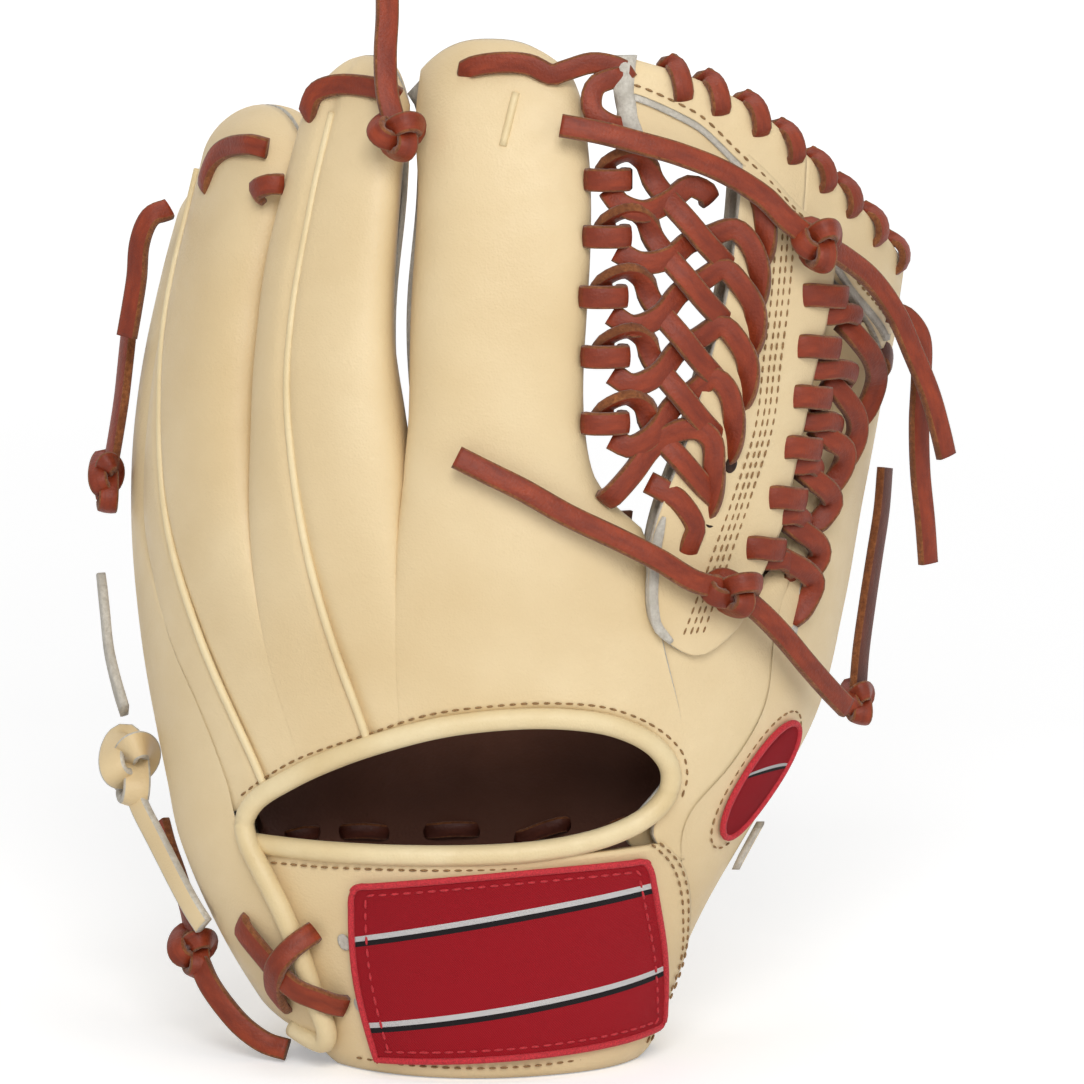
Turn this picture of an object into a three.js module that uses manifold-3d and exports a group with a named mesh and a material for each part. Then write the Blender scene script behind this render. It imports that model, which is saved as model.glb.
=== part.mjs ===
// A left-hand baseball fielding glove that stands on its heel: fingers up (+Z), the back of the hand
// towards -Y, the pocket towards +Y and the thumb at +X. Millimetres.
//
// Every leather piece follows one of two surfaces. The back surface and the palm surface are each a
// row of arcs, one for every height, given by stations of half width, arc depth and arc centre. A
// place on them is an angle (0 straight at the back, positive towards the thumb), a height, and a
// depth in millimetres off the surface.
import * as THREE from "three";
import { mergeVertices } from "three/addons/utils/BufferGeometryUtils.js";
import Module from "manifold-3d";

const wasm = await Module();
wasm.setup();

// ---------------------------------------------------------------- driving sizes
const GLOVE_HEIGHT = 284; // heel to the tip of the index finger
const GLOVE_WIDTH = 214; // across the widest place
const GLOVE_DEPTH = 126; // back of the hand to the edges of the pocket
const LEATHER = 3; // shell leather
const LINING = 2; // lining leather
const PAD = 6; // felt in the heel
const FIT = 0.4; // clearance between neighbouring pieces
const LAYER_GAP = 1.3; // between layers that are curved in different steps
const POST_LIFT = 0.8; // the web post over the surface
const STALL_GAP = 2.2; // between two finger stalls
const LACE_WIDTH = 6.2;
const LACE_THICK = 2.6;
const WELT_RADIUS = 1.3;
const BINDING_RADIUS = 2.8;
const STRAP_THICK = 4;
const PATCH_THICK = 1.6;
const LOOP_WIDTH = 9; // cream pull strap

// The pattern that the stations below are drawn at; the driving sizes grade it.
const PATTERN = { height: 284, width: 214, depth: 126, leather: 3 };
const GRADE = {
  height: GLOVE_HEIGHT / PATTERN.height,
  width: GLOVE_WIDTH / PATTERN.width,
  depth: GLOVE_DEPTH / PATTERN.depth,
};

// Stations of the form: [height, value].
const FORM = {
  pinkySide: [[0, 62], [30, 81], [60, 95], [90, 104], [120, 110], [150, 111.5], [180, 109],
    [210, 103], [240, 95], [284, 84]],
  thumbSide: [[0, 38], [30, 49], [60, 65], [90, 84], [120, 93], [150, 98], [180, 103], [210, 109],
    [240, 112], [284, 112]],
  centre: [[0, 0], [35, 3], [65, 12], [95, 30], [125, 48], [155, 58], [200, 63], [240, 71],
    [284, 84]],
  arcDepth: [[0, 42], [35, 45], [65, 54], [95, 72], [125, 90], [155, 99], [200, 101], [284, 101]],
  palmDepth: [[0, 78], [35, 78], [65, 70], [95, 52], [125, 37], [155, 32], [200, 30], [240, 27],
    [284, 22]],
  sideDepth: [[0, 9], [35, 10], [65, 14], [95, 20], [125, 26], [155, 28], [200, 28], [240, 26],
    [284, 22]],
};

// Seams that run up the glove: [height, angle].
const SEAM = {
  pinkyOuter: [[0, -88], [60, -96], [110, -104], [150, -110], [284, -110]],
  ringPinky: [[70, -50], [99, -56], [111, -61], [130, -69], [148, -77], [200, -82], [260, -84]],
  middleRing: [[90, -33], [115, -37], [142, -41], [174, -45], [201, -48], [230, -50], [275, -48]],
  indexMiddle: [[95, -14], [145, -15], [207, -17], [241, -19.5], [283, -20]],
  indexWeb: [[80, 39], [97, 34], [125, 27], [151, 24], [158, 20], [168, 16.5], [182, 14],
    [200, 12], [227, 10], [254, 7.5], [283, 3]],
  thumbWeb: [[80, 60], [100, 53], [121, 51], [146, 55], [160, 61], [172, 68], [187, 73],
    [214, 80]],
  thumbStall: [[125, 66], [160, 67], [187, 73], [214, 80]],
  thumbOuter: [[0, 90], [60, 92], [110, 98], [214, 99]],
  strapRight: [[0, 66], [7, 70], [23, 76], [40, 64], [57, 50], [66, 39]],
  flapInner: [[12, -45], [22, -44], [39, -45], [51, -48], [66, -55], [78, -58]],
  palmIndexEdge: [[0, 76], [30, 73], [65, 47], [95, 33], [125, 29], [150, 25], [160, 20],
    [176, 15]],
  pocketIndexEdge: [[50, 70], [65, 58], [95, 42], [125, 35.5], [150, 30], [172, 27]],
  pocketThumbEdge: [[50, 80], [65, 76], [95, 52.3], [125, 46.4], [150, 49.4], [172, 56.2]],
  palmThumbEdge: [[4, 84], [50, 86], [65, 86], [95, 62], [125, 57], [150, 60], [172, 68],
    [187, 73], [214, 80]],
  postIndexEdge: [[118, 28], [128, 25], [146, 28], [156, 32], [187, 35], [223, 34], [245, 33]],
  postThumbEdge: [[118, 39], [128, 42], [144, 44], [157, 47], [185, 48.5], [213, 47], [245, 46]],
};

// Edges that run across the glove: [angle, height].
const OPENING_EDGE = [[-52, 78.4], [-44, 80], [-33, 87], [-20, 94.5], [-9, 101], [3, 103.5],
  [11, 104], [19, 102], [27, 97], [34, 89], [39, 80]];
const CROWN_TOP = [[8, 280], [21, 273], [33, 263], [40, 254], [47, 246], [55, 237], [64, 228],
  [75, 219]];
const CROWN_LOW = [[8, 260], [22, 256], [34, 243], [45, 228], [58, 213], [72, 199]];

// Heights of single features.
const STALL_ROOT = 150; // where the stalls leave the hand cavity
const STRAP_TOP = 64;
const FLAP_TOP = 78;
const TIP = { index: 283, middle: 277, ring: 261, pinky: 240, thumb: 213 };
const PALM_SPLIT = 172; // the palm leather parts into fingers above this

const COLOUR = {
  shell: 0xe6d2a6, lining: 0x46281c, lace: 0x9a4428, welt: 0xdcc594, suede: 0xcdc6b8,
  patch: 0xb81e30, pad: 0xd8d4c8,
};
const ROUGHNESS = { shell: 0.55, lining: 0.6, lace: 0.5, welt: 0.5, suede: 0.95, patch: 0.8,
  pad: 1 };

// ---------------------------------------------------------------- the two surfaces
// A smooth curve through stations, level past both ends.
function along(stations, at) {
  const last = stations.length - 1;
  if (at <= stations[0][0]) return stations[0][1];
  if (at >= stations[last][0]) return stations[last][1];
  const i = stations.findIndex((station) => station[0] > at) - 1;
  const slope = (k) => {
    const a = stations[Math.max(k - 1, 0)];
    const b = stations[Math.min(k + 1, last)];
    return (b[1] - a[1]) / (b[0] - a[0]);
  };
  const span = stations[i + 1][0] - stations[i][0];
  const t = (at - stations[i][0]) / span;
  const [t2, t3] = [t * t, t * t * t];
  return (2 * t3 - 3 * t2 + 1) * stations[i][1] + (t3 - 2 * t2 + t) * span * slope(i) +
    (3 * t2 - 2 * t3) * stations[i + 1][1] + (t3 - t2) * span * slope(i + 1);
}

// A point of one arc of the form, and the arc's normal, which points into the pocket's side.
function arcPoint(angle, height, narrower, shallower, depth) {
  const [left, right] = [along(FORM.pinkySide, height), along(FORM.thumbSide, height)];
  const halfWidth = ((left + right) / 2 - narrower) * GRADE.width;
  const arcDepth = (along(FORM.arcDepth, height) - shallower) * GRADE.depth;
  const turn = THREE.MathUtils.degToRad(angle);
  const normal = new THREE.Vector3(
    -arcDepth * Math.sin(turn), halfWidth * Math.cos(turn), 0).normalize();
  return new THREE.Vector3(
    (right - left) / 2 * GRADE.width + halfWidth * Math.sin(turn),
    along(FORM.centre, height) * GRADE.depth - arcDepth * Math.cos(turn),
    height * GRADE.height,
  ).addScaledVector(normal, depth);
}

const backPoint = (angle, height, depth = 0) => arcPoint(angle, height, 0, 0, depth);

const palmPoint = (angle, height, depth = 0) =>
  arcPoint(angle, height, along(FORM.sideDepth, height), along(FORM.palmDepth, height), depth);

// Between the two surfaces: share 0 is the back, 1 is the palm.
const betweenPoint = (angle, height, share) =>
  backPoint(angle, height).lerp(palmPoint(angle, height), share);

// The outward normal of the back surface.
function backNormal(angle, height) {
  return backPoint(angle, height, -1).sub(backPoint(angle, height)).normalize();
}

// Degrees of arc that a width in millimetres takes.
function degreesFor(width, height) {
  const around = backPoint(1, height).distanceTo(backPoint(0, height));
  return width / around;
}

// ---------------------------------------------------------------- solids
const mix = THREE.MathUtils.lerp;

function closedGeometry(positions, indices) {
  const geometry = new THREE.BufferGeometry();
  geometry.setAttribute("position", new THREE.Float32BufferAttribute(positions, 3));
  geometry.setIndex(indices);
  if (signedVolume(geometry) < 0) {
    for (let i = 0; i < indices.length; i += 3) {
      [indices[i + 1], indices[i + 2]] = [indices[i + 2], indices[i + 1]];
    }
    geometry.setIndex(indices);
  }
  return geometry;
}

function signedVolume(geometry) {
  const [a, b, c] = [new THREE.Vector3(), new THREE.Vector3(), new THREE.Vector3()];
  const { position } = geometry.attributes;
  const index = geometry.index.array;
  let volume = 0;
  for (let i = 0; i < index.length; i += 3) {
    a.fromBufferAttribute(position, index[i]);
    b.fromBufferAttribute(position, index[i + 1]);
    c.fromBufferAttribute(position, index[i + 2]);
    volume += a.dot(b.cross(c)) / 6;
  }
  return volume;
}

// A closed slab between two grids. pointAt(u, v, side) has side 0 on one face and 1 on the other.
function slab(pointAt, across, up) {
  const positions = [];
  const indices = [];
  const row = across + 1;
  const face = row * (up + 1);
  for (const side of [0, 1]) {
    for (let j = 0; j <= up; j += 1) {
      for (let i = 0; i <= across; i += 1) {
        positions.push(...pointAt(i / across, j / up, side));
      }
    }
  }
  const quad = (a, b, c, d) => indices.push(a, b, c, a, c, d);
  for (let j = 0; j < up; j += 1) {
    for (let i = 0; i < across; i += 1) {
      const k = j * row + i;
      quad(k, k + 1, k + row + 1, k + row);
      quad(face + k, face + k + row, face + k + row + 1, face + k + 1);
    }
  }
  for (let i = 0; i < across; i += 1) {
    const top = up * row + i;
    quad(face + i, face + i + 1, i + 1, i);
    quad(top, top + 1, face + top + 1, face + top);
  }
  for (let j = 0; j < up; j += 1) {
    const [low, high] = [j * row, (j + 1) * row];
    quad(low, high, face + high, face + low);
    quad(face + low + across, face + high + across, high + across, low + across);
  }
  return closedGeometry(positions, indices);
}

// A closed loft of rings, flat at its foot and drawn to one point at its top.
function loft(ringPoint, topPoint, sides, rings) {
  const positions = [];
  const indices = [];
  const foot = new THREE.Vector3();
  for (let j = 0; j < rings; j += 1) {
    for (let i = 0; i < sides; i += 1) {
      const point = ringPoint((2 * Math.PI * i) / sides, j / rings);
      if (j === 0) foot.addScaledVector(point, 1 / sides);
      positions.push(...point);
    }
  }
  positions.push(...foot, ...topPoint);
  const footIndex = sides * rings;
  for (let i = 0; i < sides; i += 1) {
    const next = (i + 1) % sides;
    const last = (rings - 1) * sides;
    indices.push(footIndex, next, i, last + i, last + next, footIndex + 1);
    for (let j = 0; j < rings - 1; j += 1) {
      const [a, b] = [j * sides, (j + 1) * sides];
      indices.push(a + i, a + next, b + next, a + i, b + next, b + i);
    }
  }
  return closedGeometry(positions, indices);
}

function asSolid(geometry) {
  const bare = geometry.clone();
  bare.deleteAttribute("normal");
  bare.deleteAttribute("uv");
  const merged = mergeVertices(bare, 1e-4);
  return new wasm.Manifold(new wasm.Mesh({
    numProp: 3,
    vertProperties: merged.attributes.position.array,
    triVerts: new Uint32Array(merged.index.array),
  }));
}

function asGeometry(solid) {
  const mesh = solid.getMesh();
  const geometry = new THREE.BufferGeometry();
  geometry.setAttribute("position", new THREE.BufferAttribute(mesh.vertProperties, 3));
  geometry.setIndex(new THREE.BufferAttribute(mesh.triVerts, 1));
  return geometry;
}

const join = (geometries) =>
  asGeometry(geometries.map(asSolid).reduce((sum, solid) => sum.add(solid)));

// ---------------------------------------------------------------- leather panels
// The height of an across edge at share u between two seams; a number is a level edge.
function edgeHeight(edge, left, right, u) {
  if (typeof edge === "number") return edge;
  let height = along(edge, 0);
  for (let pass = 0; pass < 6; pass += 1) {
    height = along(edge, mix(along(left, height), along(right, height), u));
  }
  return height;
}

// A leather panel on a surface, between two seams and two across edges, with a clearance to each
// seam in millimetres. near and far are the depths of its two faces.
function panel({ surface, left, right, bottom, top, near, far, across = 8, up = 8,
  leftGap = FIT / 2, rightGap = FIT / 2 }) {
  return slab((u, v, side) => {
    const low = edgeHeight(bottom, left, right, u);
    const high = edgeHeight(top, left, right, u);
    const height = mix(low, high, v);
    const from = along(left, height) + degreesFor(leftGap, height);
    const to = along(right, height) - degreesFor(rightGap, height);
    return surface(mix(from, to, u), height, mix(near, far, side));
  }, across, up);
}

// One closed finger stall, open at its root, as a loft between the two surfaces less a smaller one.
function stall({ left, right, root, tip }) {
  const squareness = 0.55;
  const bow = (value) => Math.sign(value) * Math.abs(value) ** squareness;
  const body = (inset, low, high) => {
    const ring = (turn, v) => {
      const height = mix(low, high, v);
      const round = (1 - v ** 7) ** 0.4;
      const side = degreesFor(STALL_GAP / 2 + inset, height);
      const from = along(left, height) + side;
      const to = along(right, height) - side;
      const thick = along(FORM.palmDepth, height) * GRADE.depth;
      const near = inset / thick;
      const far = 1 - (inset + FIT) / thick;
      const u = 0.5 + 0.5 * bow(Math.cos(turn)) * round;
      const share = 0.5 + 0.5 * bow(Math.sin(turn)) * round;
      return betweenPoint(mix(from, to, u), height, mix(near, far, share));
    };
    const top = betweenPoint((along(left, high) + along(right, high)) / 2, high, 0.5);
    return asSolid(loft(ring, top, 12, 9));
  };
  const overrun = 6;
  return body(0, root, tip).subtract(body(LEATHER, root - overrun, tip - LEATHER));
}

// A block through the whole thickness of the glove between two shares of it, for halving a stall.
function thicknessBlock({ left, right, root, tip }, near, far) {
  const wide = 4;
  return asSolid(slab((u, v, side) => {
    const height = mix(root - wide, tip + wide, v);
    return betweenPoint(
      mix(along(left, height) - wide, along(right, height) + wide, u), height,
      mix(near, far, side));
  }, 4, 5));
}

// A finger: its back shell with the back-of-hand panel below it, and its palm-side lining.
function finger(spec) {
  const split = 0.62;
  const kerf = 0.015;
  const tube = stall(spec);
  const back = tube.intersect(thicknessBlock(spec, -0.3, split));
  const lining = tube.intersect(thicknessBlock(spec, split + kerf, 1.3));
  const hand = panel({ surface: backPoint, left: spec.left, right: spec.right,
    bottom: spec.bottom, top: spec.root + 3, near: 0, far: LEATHER, across: 6, up: 4,
    leftGap: STALL_GAP / 2, rightGap: STALL_GAP / 2 });
  return { back: asGeometry(back.add(asSolid(hand))), lining: asGeometry(lining) };
}

// ---------------------------------------------------------------- laces, welts and tubes
// A flat lace: a closed strip through [point, normal] stops, with its flat side along the normals.
function flatLace(stops, steps, width = LACE_WIDTH, thick = LACE_THICK) {
  const path = new THREE.CatmullRomCurve3(stops.map((stop) => stop[0]), false, "centripetal");
  const facing = new THREE.CatmullRomCurve3(stops.map((stop) => stop[1]), false, "centripetal");
  return slab((u, v, side) => {
    const tangent = path.getTangent(v);
    const across = tangent.clone().cross(facing.getPoint(v)).normalize();
    const outward = across.clone().cross(tangent).normalize();
    return path.getPoint(v)
      .addScaledVector(across, (u - 0.5) * width)
      .addScaledVector(outward, (0.5 - side) * thick);
  }, 1, steps);
}

// Stops of a lace on the back surface: [angle, height, lift of its middle off the surface].
const onBack = (places) => places.map(([angle, height, lift]) =>
  [backPoint(angle, height, -lift), backNormal(angle, height)]);

// A round tube along points.
function tube(points, radius, steps, sides = 8) {
  const path = new THREE.CatmullRomCurve3(points, false, "centripetal");
  const section = new THREE.Shape(Array.from({ length: sides }, (_, i) => {
    const turn = (2 * Math.PI * i) / sides;
    return new THREE.Vector2(radius * Math.cos(turn), radius * Math.sin(turn));
  }));
  return new THREE.ExtrudeGeometry(section,
    { steps, extrudePath: path, bevelEnabled: false });
}

// Places given in the pattern's millimetres, graded with the form.
const graded = ([x, y, z]) =>
  new THREE.Vector3(x * GRADE.width, y * GRADE.depth, z * GRADE.height);

// ---------------------------------------------------------------- the glove
const group = new THREE.Group();

function add(name, geometry, finish) {
  const material = new THREE.MeshStandardMaterial({
    color: COLOUR[finish], roughness: ROUGHNESS[finish], metalness: 0,
  });
  const mesh = new THREE.Mesh(geometry, material);
  mesh.name = name;
  group.add(mesh);
}

const FINGERS = {
  index: { left: SEAM.indexMiddle, right: SEAM.indexWeb, bottom: OPENING_EDGE },
  middle: { left: SEAM.middleRing, right: SEAM.indexMiddle, bottom: OPENING_EDGE },
  ring: { left: SEAM.ringPinky, right: SEAM.middleRing, bottom: OPENING_EDGE },
  pinky: { left: SEAM.pinkyOuter, right: SEAM.ringPinky, bottom: FLAP_TOP + FIT },
};

function addFingers() {
  for (const [name, seams] of Object.entries(FINGERS)) {
    const made = finger({ ...seams, root: STALL_ROOT, tip: TIP[name] });
    add(`${name}_back`, made.back, "shell");
    add(`${name}_lining`, made.lining, "lining");
  }
}

// The thumb: a stall on the outer side of a wide back panel that reaches down to the wrist.
function addThumb() {
  const spec = { left: SEAM.thumbStall, right: SEAM.thumbOuter, root: 125, tip: TIP.thumb };
  const tubeSolid = stall(spec);
  const back = tubeSolid.intersect(thicknessBlock(spec, -0.3, 0.6));
  const lining = tubeSolid.intersect(thicknessBlock(spec, 0.62, 1.3));
  const inner = [[4, 82], [23, 81], [40, 70], [57, 60], [66, 58], ...SEAM.thumbWeb];
  const hand = panel({ surface: backPoint, left: inner, right: SEAM.thumbOuter, bottom: 4,
    top: 190, near: 0, far: LEATHER, across: 5, up: 14, rightGap: STALL_GAP / 2 });
  add("thumb_back", asGeometry(back.add(asSolid(hand))), "shell");
  add("thumb_lining", asGeometry(lining), "lining");
  add("thumb_crotch_back", panel({ surface: backPoint, left: SEAM.indexWeb,
    right: SEAM.thumbWeb, bottom: 80, top: 126, near: 0, far: LEATHER, across: 4, up: 4,
    leftGap: STALL_GAP, rightGap: 2 * STALL_GAP }), "shell");
}

// The palm leather, parted at the two lines that the glove folds on.
function addPalm() {
  const near = LAYER_GAP;
  const far = near + LEATHER;
  const base = panel({ surface: palmPoint, left: SEAM.pinkyOuter, right: SEAM.palmIndexEdge,
    bottom: 0, top: PALM_SPLIT, near, far, across: 13, up: 9 });
  const fingers = Object.entries(FINGERS).map(([name, seams]) => {
    const rounding = 0.06 * TIP[name];
    return slab((u, v, side) => {
      const high = TIP[name] - rounding * Math.abs(2 * u - 1) ** 3;
      const height = mix(PALM_SPLIT - 4, high, v);
      const gap = degreesFor(STALL_GAP / 2, height);
      const angle = mix(along(seams.left, height) + gap, along(seams.right, height) - gap, u);
      return palmPoint(angle, height, mix(near, far, side));
    }, 3, 5);
  });
  add("palm_finger_side", join([base, ...fingers]), "shell");
  add("palm_pocket", panel({ surface: palmPoint, left: SEAM.pocketIndexEdge,
    right: SEAM.pocketThumbEdge, bottom: 52, top: 172, near, far, across: 4, up: 7 }), "shell");
  add("palm_thumb_side", panel({ surface: palmPoint, left: SEAM.palmThumbEdge,
    right: SEAM.thumbOuter, bottom: 4, top: TIP.thumb - 3, near, far, across: 4, up: 10 }),
  "shell");
}

// Felt pads in the heel and the lining that the hand lies on.
function addHeel() {
  const padNear = -PAD;
  const liningNear = padNear - LAYER_GAP - LINING;
  add("pinky_heel_pad", panel({ surface: palmPoint, left: [[0, -75], [80, -78]],
    right: [[0, -14], [80, -10]], bottom: 4, top: 78, near: padNear, far: 0, across: 8, up: 5 }),
  "pad");
  add("thumb_heel_pad", panel({ surface: palmPoint, left: [[0, 0], [80, 2]],
    right: [[0, 62], [40, 58], [65, 38], [80, 34]], bottom: 4, top: 76, near: padNear, far: 0,
    across: 5, up: 4 }), "pad");
  add("palm_lining", panel({ surface: palmPoint, left: [[0, -78], [60, -80], [130, -86]],
    right: [[0, 64], [30, 60], [65, 36], [95, 28], [146, 22]], bottom: 2, top: STALL_ROOT - 4,
    near: liningNear, far: liningNear + LINING, across: 10, up: 7 }), "lining");
  const laceDepth = liningNear - 2 * LAYER_GAP - LACE_THICK / 2;
  add("heel_lace", flatLace([-46, -30, -12, 8, 24, 32].map((angle) => [
    palmPoint(angle, 55, laceDepth), palmPoint(angle, 55, 0).sub(palmPoint(angle, 55, 1)),
  ]), 8), "lace");
}

// The wrist strap, the flap that it passes under at the pinky side, and the bound hand opening.
function addWrist() {
  const strapNear = 1; // the strap's face lies in from the shell's, to clear the flap and patch
  const strapFar = strapNear + STRAP_THICK;
  const onStrap = strapNear - LAYER_GAP;
  const liningNear = strapFar + LAYER_GAP;
  const flapThick = 2.1;
  add("wrist_strap", panel({ surface: backPoint, left: [[0, -54], [66, -62]],
    right: SEAM.strapRight, bottom: 0, top: STRAP_TOP, near: strapNear, far: strapFar,
    across: 9, up: 5 }), "shell");
  add("strap_lining", panel({ surface: backPoint, left: [[0, -52], [66, -60]],
    right: [[0, 60], [23, 66], [40, 56], [66, 30]], bottom: 2, top: STRAP_TOP - 2,
    near: liningNear, far: liningNear + LINING, across: 7, up: 3 }), "suede");
  add("pinky_heel_flap", panel({ surface: backPoint, left: [[12, -88], [78, -99]],
    right: SEAM.flapInner, bottom: [[-90, 20], [-60, 13], [-44, 11]], top: FLAP_TOP,
    near: onStrap - flapThick, far: onStrap, across: 5, up: 5 }), "shell");
  add("wrist_patch", panel({ surface: backPoint, left: [[5, -30], [54, -25]],
    right: [[5, 60], [12, 62], [54, 38]], bottom: 6, top: 55, near: onStrap - PATCH_THICK,
    far: onStrap, across: 8, up: 4 }), "patch");
  const reach = BINDING_RADIUS + 2 * LAYER_GAP;
  const arch = OPENING_EDGE.map(([angle, height], i) => {
    const perDegree = 1 / degreesFor(1, height);
    const before = OPENING_EDGE[Math.max(i - 1, 0)];
    const after = OPENING_EDGE[Math.min(i + 1, OPENING_EDGE.length - 1)];
    const tangent = new THREE.Vector2((after[0] - before[0]) * perDegree,
      (after[1] - before[1]) * GRADE.height).setLength(reach);
    return backPoint(angle + tangent.y / perDegree, height - tangent.x / GRADE.height, 0.4);
  });
  const down = [14, 24, 36, 48, 58, 68].map((height) => backPoint(
    along(SEAM.flapInner, height) + degreesFor(reach + 1, height), height, -3));
  add("hand_opening_binding", tube([...down, ...arch], BINDING_RADIUS, 34, 6), "welt");
  const cross = (stops) => flatLace(onBack(stops), 5);
  const hump = 3 * BINDING_RADIUS + 1.6; // over the binding
  const fall = hump - 2.4;
  add("strap_cross_lace", join([
    cross([[-58, 38, 4.6], [-50, 33, 5.6], [-41, 27, hump], [-36, 23, fall], [-31, 20, 4]]),
    cross([[-60, 17, 4.6], [-52, 24, 5.6], [-41, 31, hump], [-36, 35, fall], [-31, 38, 4]]),
  ]), "lace");
}

function addWelts() {
  const lift = WELT_RADIUS + FIT;
  const welt = (name, places, steps) => add(name, tube(places.map(([height, angle]) =>
    backPoint(angle, height, -lift)), WELT_RADIUS, steps, 6), "welt");
  welt("middle_welt", [[100, -20], [133, -27], [170, -33], [200, -37], [240, -39], [262, -38]],
    14);
  welt("ring_welt", [[84, -46], [117, -55], [148, -64], [180, -70], [207, -76], [240, -77]], 14);
  welt("index_welt", [[256, -8.5], [263, -8], [269, -7.5]], 4);
}

// ---------------------------------------------------------------- the web
const CROWN_WRAPS = [16, 22, 28, 35, 41, 48, 56, 64]; // angles of the spiral lace
const INDEX_HOLES = [[8, 247], [9, 232], [10, 216], [12, 200], [14, 182], [17, 160]];
const POST_INDEX_HOLES = [[37, 224], [37, 212], [38, 199], [38, 186], [36, 168], [34, 154]];
const POST_THUMB_HOLES = [[45, 211], [46, 200], [47, 186], [47, 172], [45, 158], [42, 145]];
const THUMB_HOLES = [[77, 192], [75, 181], [71, 169], [64, 157], [58, 145], [54, 131]];

// One side of the braid: from each hole a lace to the hole across and another to the one above it.
function braid(near, far, depth) {
  const strand = (from, to, lift) => {
    const middle = [(from[0] + to[0]) / 2, (from[1] + to[1]) / 2];
    return flatLace(onBack([[...from, -depth], [...middle, lift - depth], [...to, -depth]]), 4);
  };
  const over = near.map((hole, i) => strand(hole, far[i], LACE_THICK * 0.45));
  const under = near.slice(1).map((hole, i) => strand(hole, far[i], -LACE_THICK * 0.45));
  return join([...over, ...under]);
}

function addWeb() {
  const bandThick = 5;
  const postFar = -POST_LIFT;
  const braidDepth = LACE_THICK;
  const backing = braidDepth + 2 * LACE_THICK + LAYER_GAP;
  add("web_post", panel({ surface: backPoint, left: SEAM.postIndexEdge,
    right: SEAM.postThumbEdge, bottom: [[28, 124], [33, 118], [39, 124]],
    top: [[33, 240], [46, 224]], near: postFar - LEATHER, far: postFar, across: 3, up: 9 }),
  "shell");
  add("web_post_backing", panel({ surface: backPoint, left: [[128, 29], [187, 37], [245, 36]],
    right: [[128, 39], [187, 46], [245, 43]], bottom: 130, top: [[33, 238], [46, 224]],
    near: backing, far: backing + LEATHER, across: 2, up: 7 }), "shell");
  add("crown_band", panel({ surface: backPoint, left: [[250, 8.6], [290, 6]],
    right: SEAM.thumbWeb, bottom: CROWN_LOW, top: CROWN_TOP, near: 0, far: bandThick,
    across: 11,
    up: 2, rightGap: STALL_GAP }), "shell");
  const inward = (holes, turn) => holes.map(([angle, height]) => [angle + turn, height]);
  add("index_braid", braid(inward(INDEX_HOLES, 9), inward(POST_INDEX_HOLES, -5), braidDepth),
    "lace");
  add("thumb_braid", braid(inward(POST_THUMB_HOLES, 5), inward(THUMB_HOLES, -8), braidDepth),
    "lace");
  const over = LACE_THICK / 2 + LAYER_GAP;
  const turns = [[-1, -9, over], [0, 1.5, over], [0.7, over + 1.2, -bandThick / 2],
    [1.4, 1.5, -bandThick - over], [2, -8, -bandThick - over], [2.7, 1.5, -bandThick - over],
    [3.4, over + 1.2, -bandThick / 2], [4, 1.5, over]];
  const stops = CROWN_WRAPS.flatMap((angle) => turns.map(([turn, rise, lift]) =>
    [angle + turn, along(CROWN_TOP, angle + turn) + rise, lift]));
  add("crown_lace", flatLace(onBack(stops), 96, 4), "lace");
  add("web_lace_end", flatLace(onBack([[60, 133, 3.4], [58, 126, 4.6], [56, 119, 3.2]]), 4),
    "lace");
}

function addFingertipLaces() {
  add("index_tip_lace", flatLace(onBack([[-16, 272, 2.4], [-13, 276, 2.4], [-7, 276, 2.4],
    [-1, 274, 2.4], [4, 275, 2.4], [8, 274, 4]]), 10), "lace");
  add("middle_tip_lace", flatLace(onBack([[-44, 262, 2.4], [-40, 268, 2.4], [-35, 270, 2.4],
    [-29, 269, 2.4]]), 8), "lace");
  add("ring_tip_lace", flatLace(onBack([[-69, 240, 2.4], [-66, 246, 2.4], [-61, 250, 2.4],
    [-55, 251, 2.4]]), 8), "lace");
  add("ring_side_lace", flatLace(onBack([[-52, 239, 2.4], [-47, 241, 2.4]]), 3), "lace");
}

// ---------------------------------------------------------------- patch, tab, knots and tails
function addThumbTrim() {
  const centre = [62, 78];
  const radius = 16;
  const square = (u) => 2 * u - 1;
  add("thumb_patch", slab((u, v, side) => {
    const [a, b] = [square(u), square(v)];
    const across = a * Math.sqrt(1 - (b * b) / 2) * radius;
    const up = b * Math.sqrt(1 - (a * a) / 2) * radius;
    const height = centre[1] + up / GRADE.height;
    return backPoint(centre[0] + degreesFor(across, height), height,
      mix(-LAYER_GAP - PATCH_THICK, -LAYER_GAP, side));
  }, 6, 6), "patch");
  add("thumb_tab", panel({ surface: backPoint, left: [[50, 80], [70, 78]],
    right: [[50, 90], [70, 88]], bottom: 50, top: 62, near: -LAYER_GAP - LEATHER,
    far: -LAYER_GAP, across: 2, up: 2 }), "suede");
}

// Knots: [centre, radii, extra leather below] of the lump that each makes.
const EXTRA_LEATHER = LEATHER - PATTERN.leather;
const KNOTS = {
  fingertip_knot: [[-33, -24, 259], [8, 5, 7]],
  web_upper_knot: [[81, -19, 229], [7, 5.5, 8], EXTRA_LEATHER],
  web_lower_knot: [[58, -33, 135], [9, 5.5, 6.5], EXTRA_LEATHER],
  pinky_side_knot: [[-119, 50, 154], [4, 7, 10]],
  heel_side_knot: [[-92, -3, 28], [6.5, 6, 8]],
  thumb_side_knot: [[97, 46, 90], [4.5, 6, 7]],
  pull_strap_knot: [[-111, 22, 76], [7, 9, 12]],
};

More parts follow.
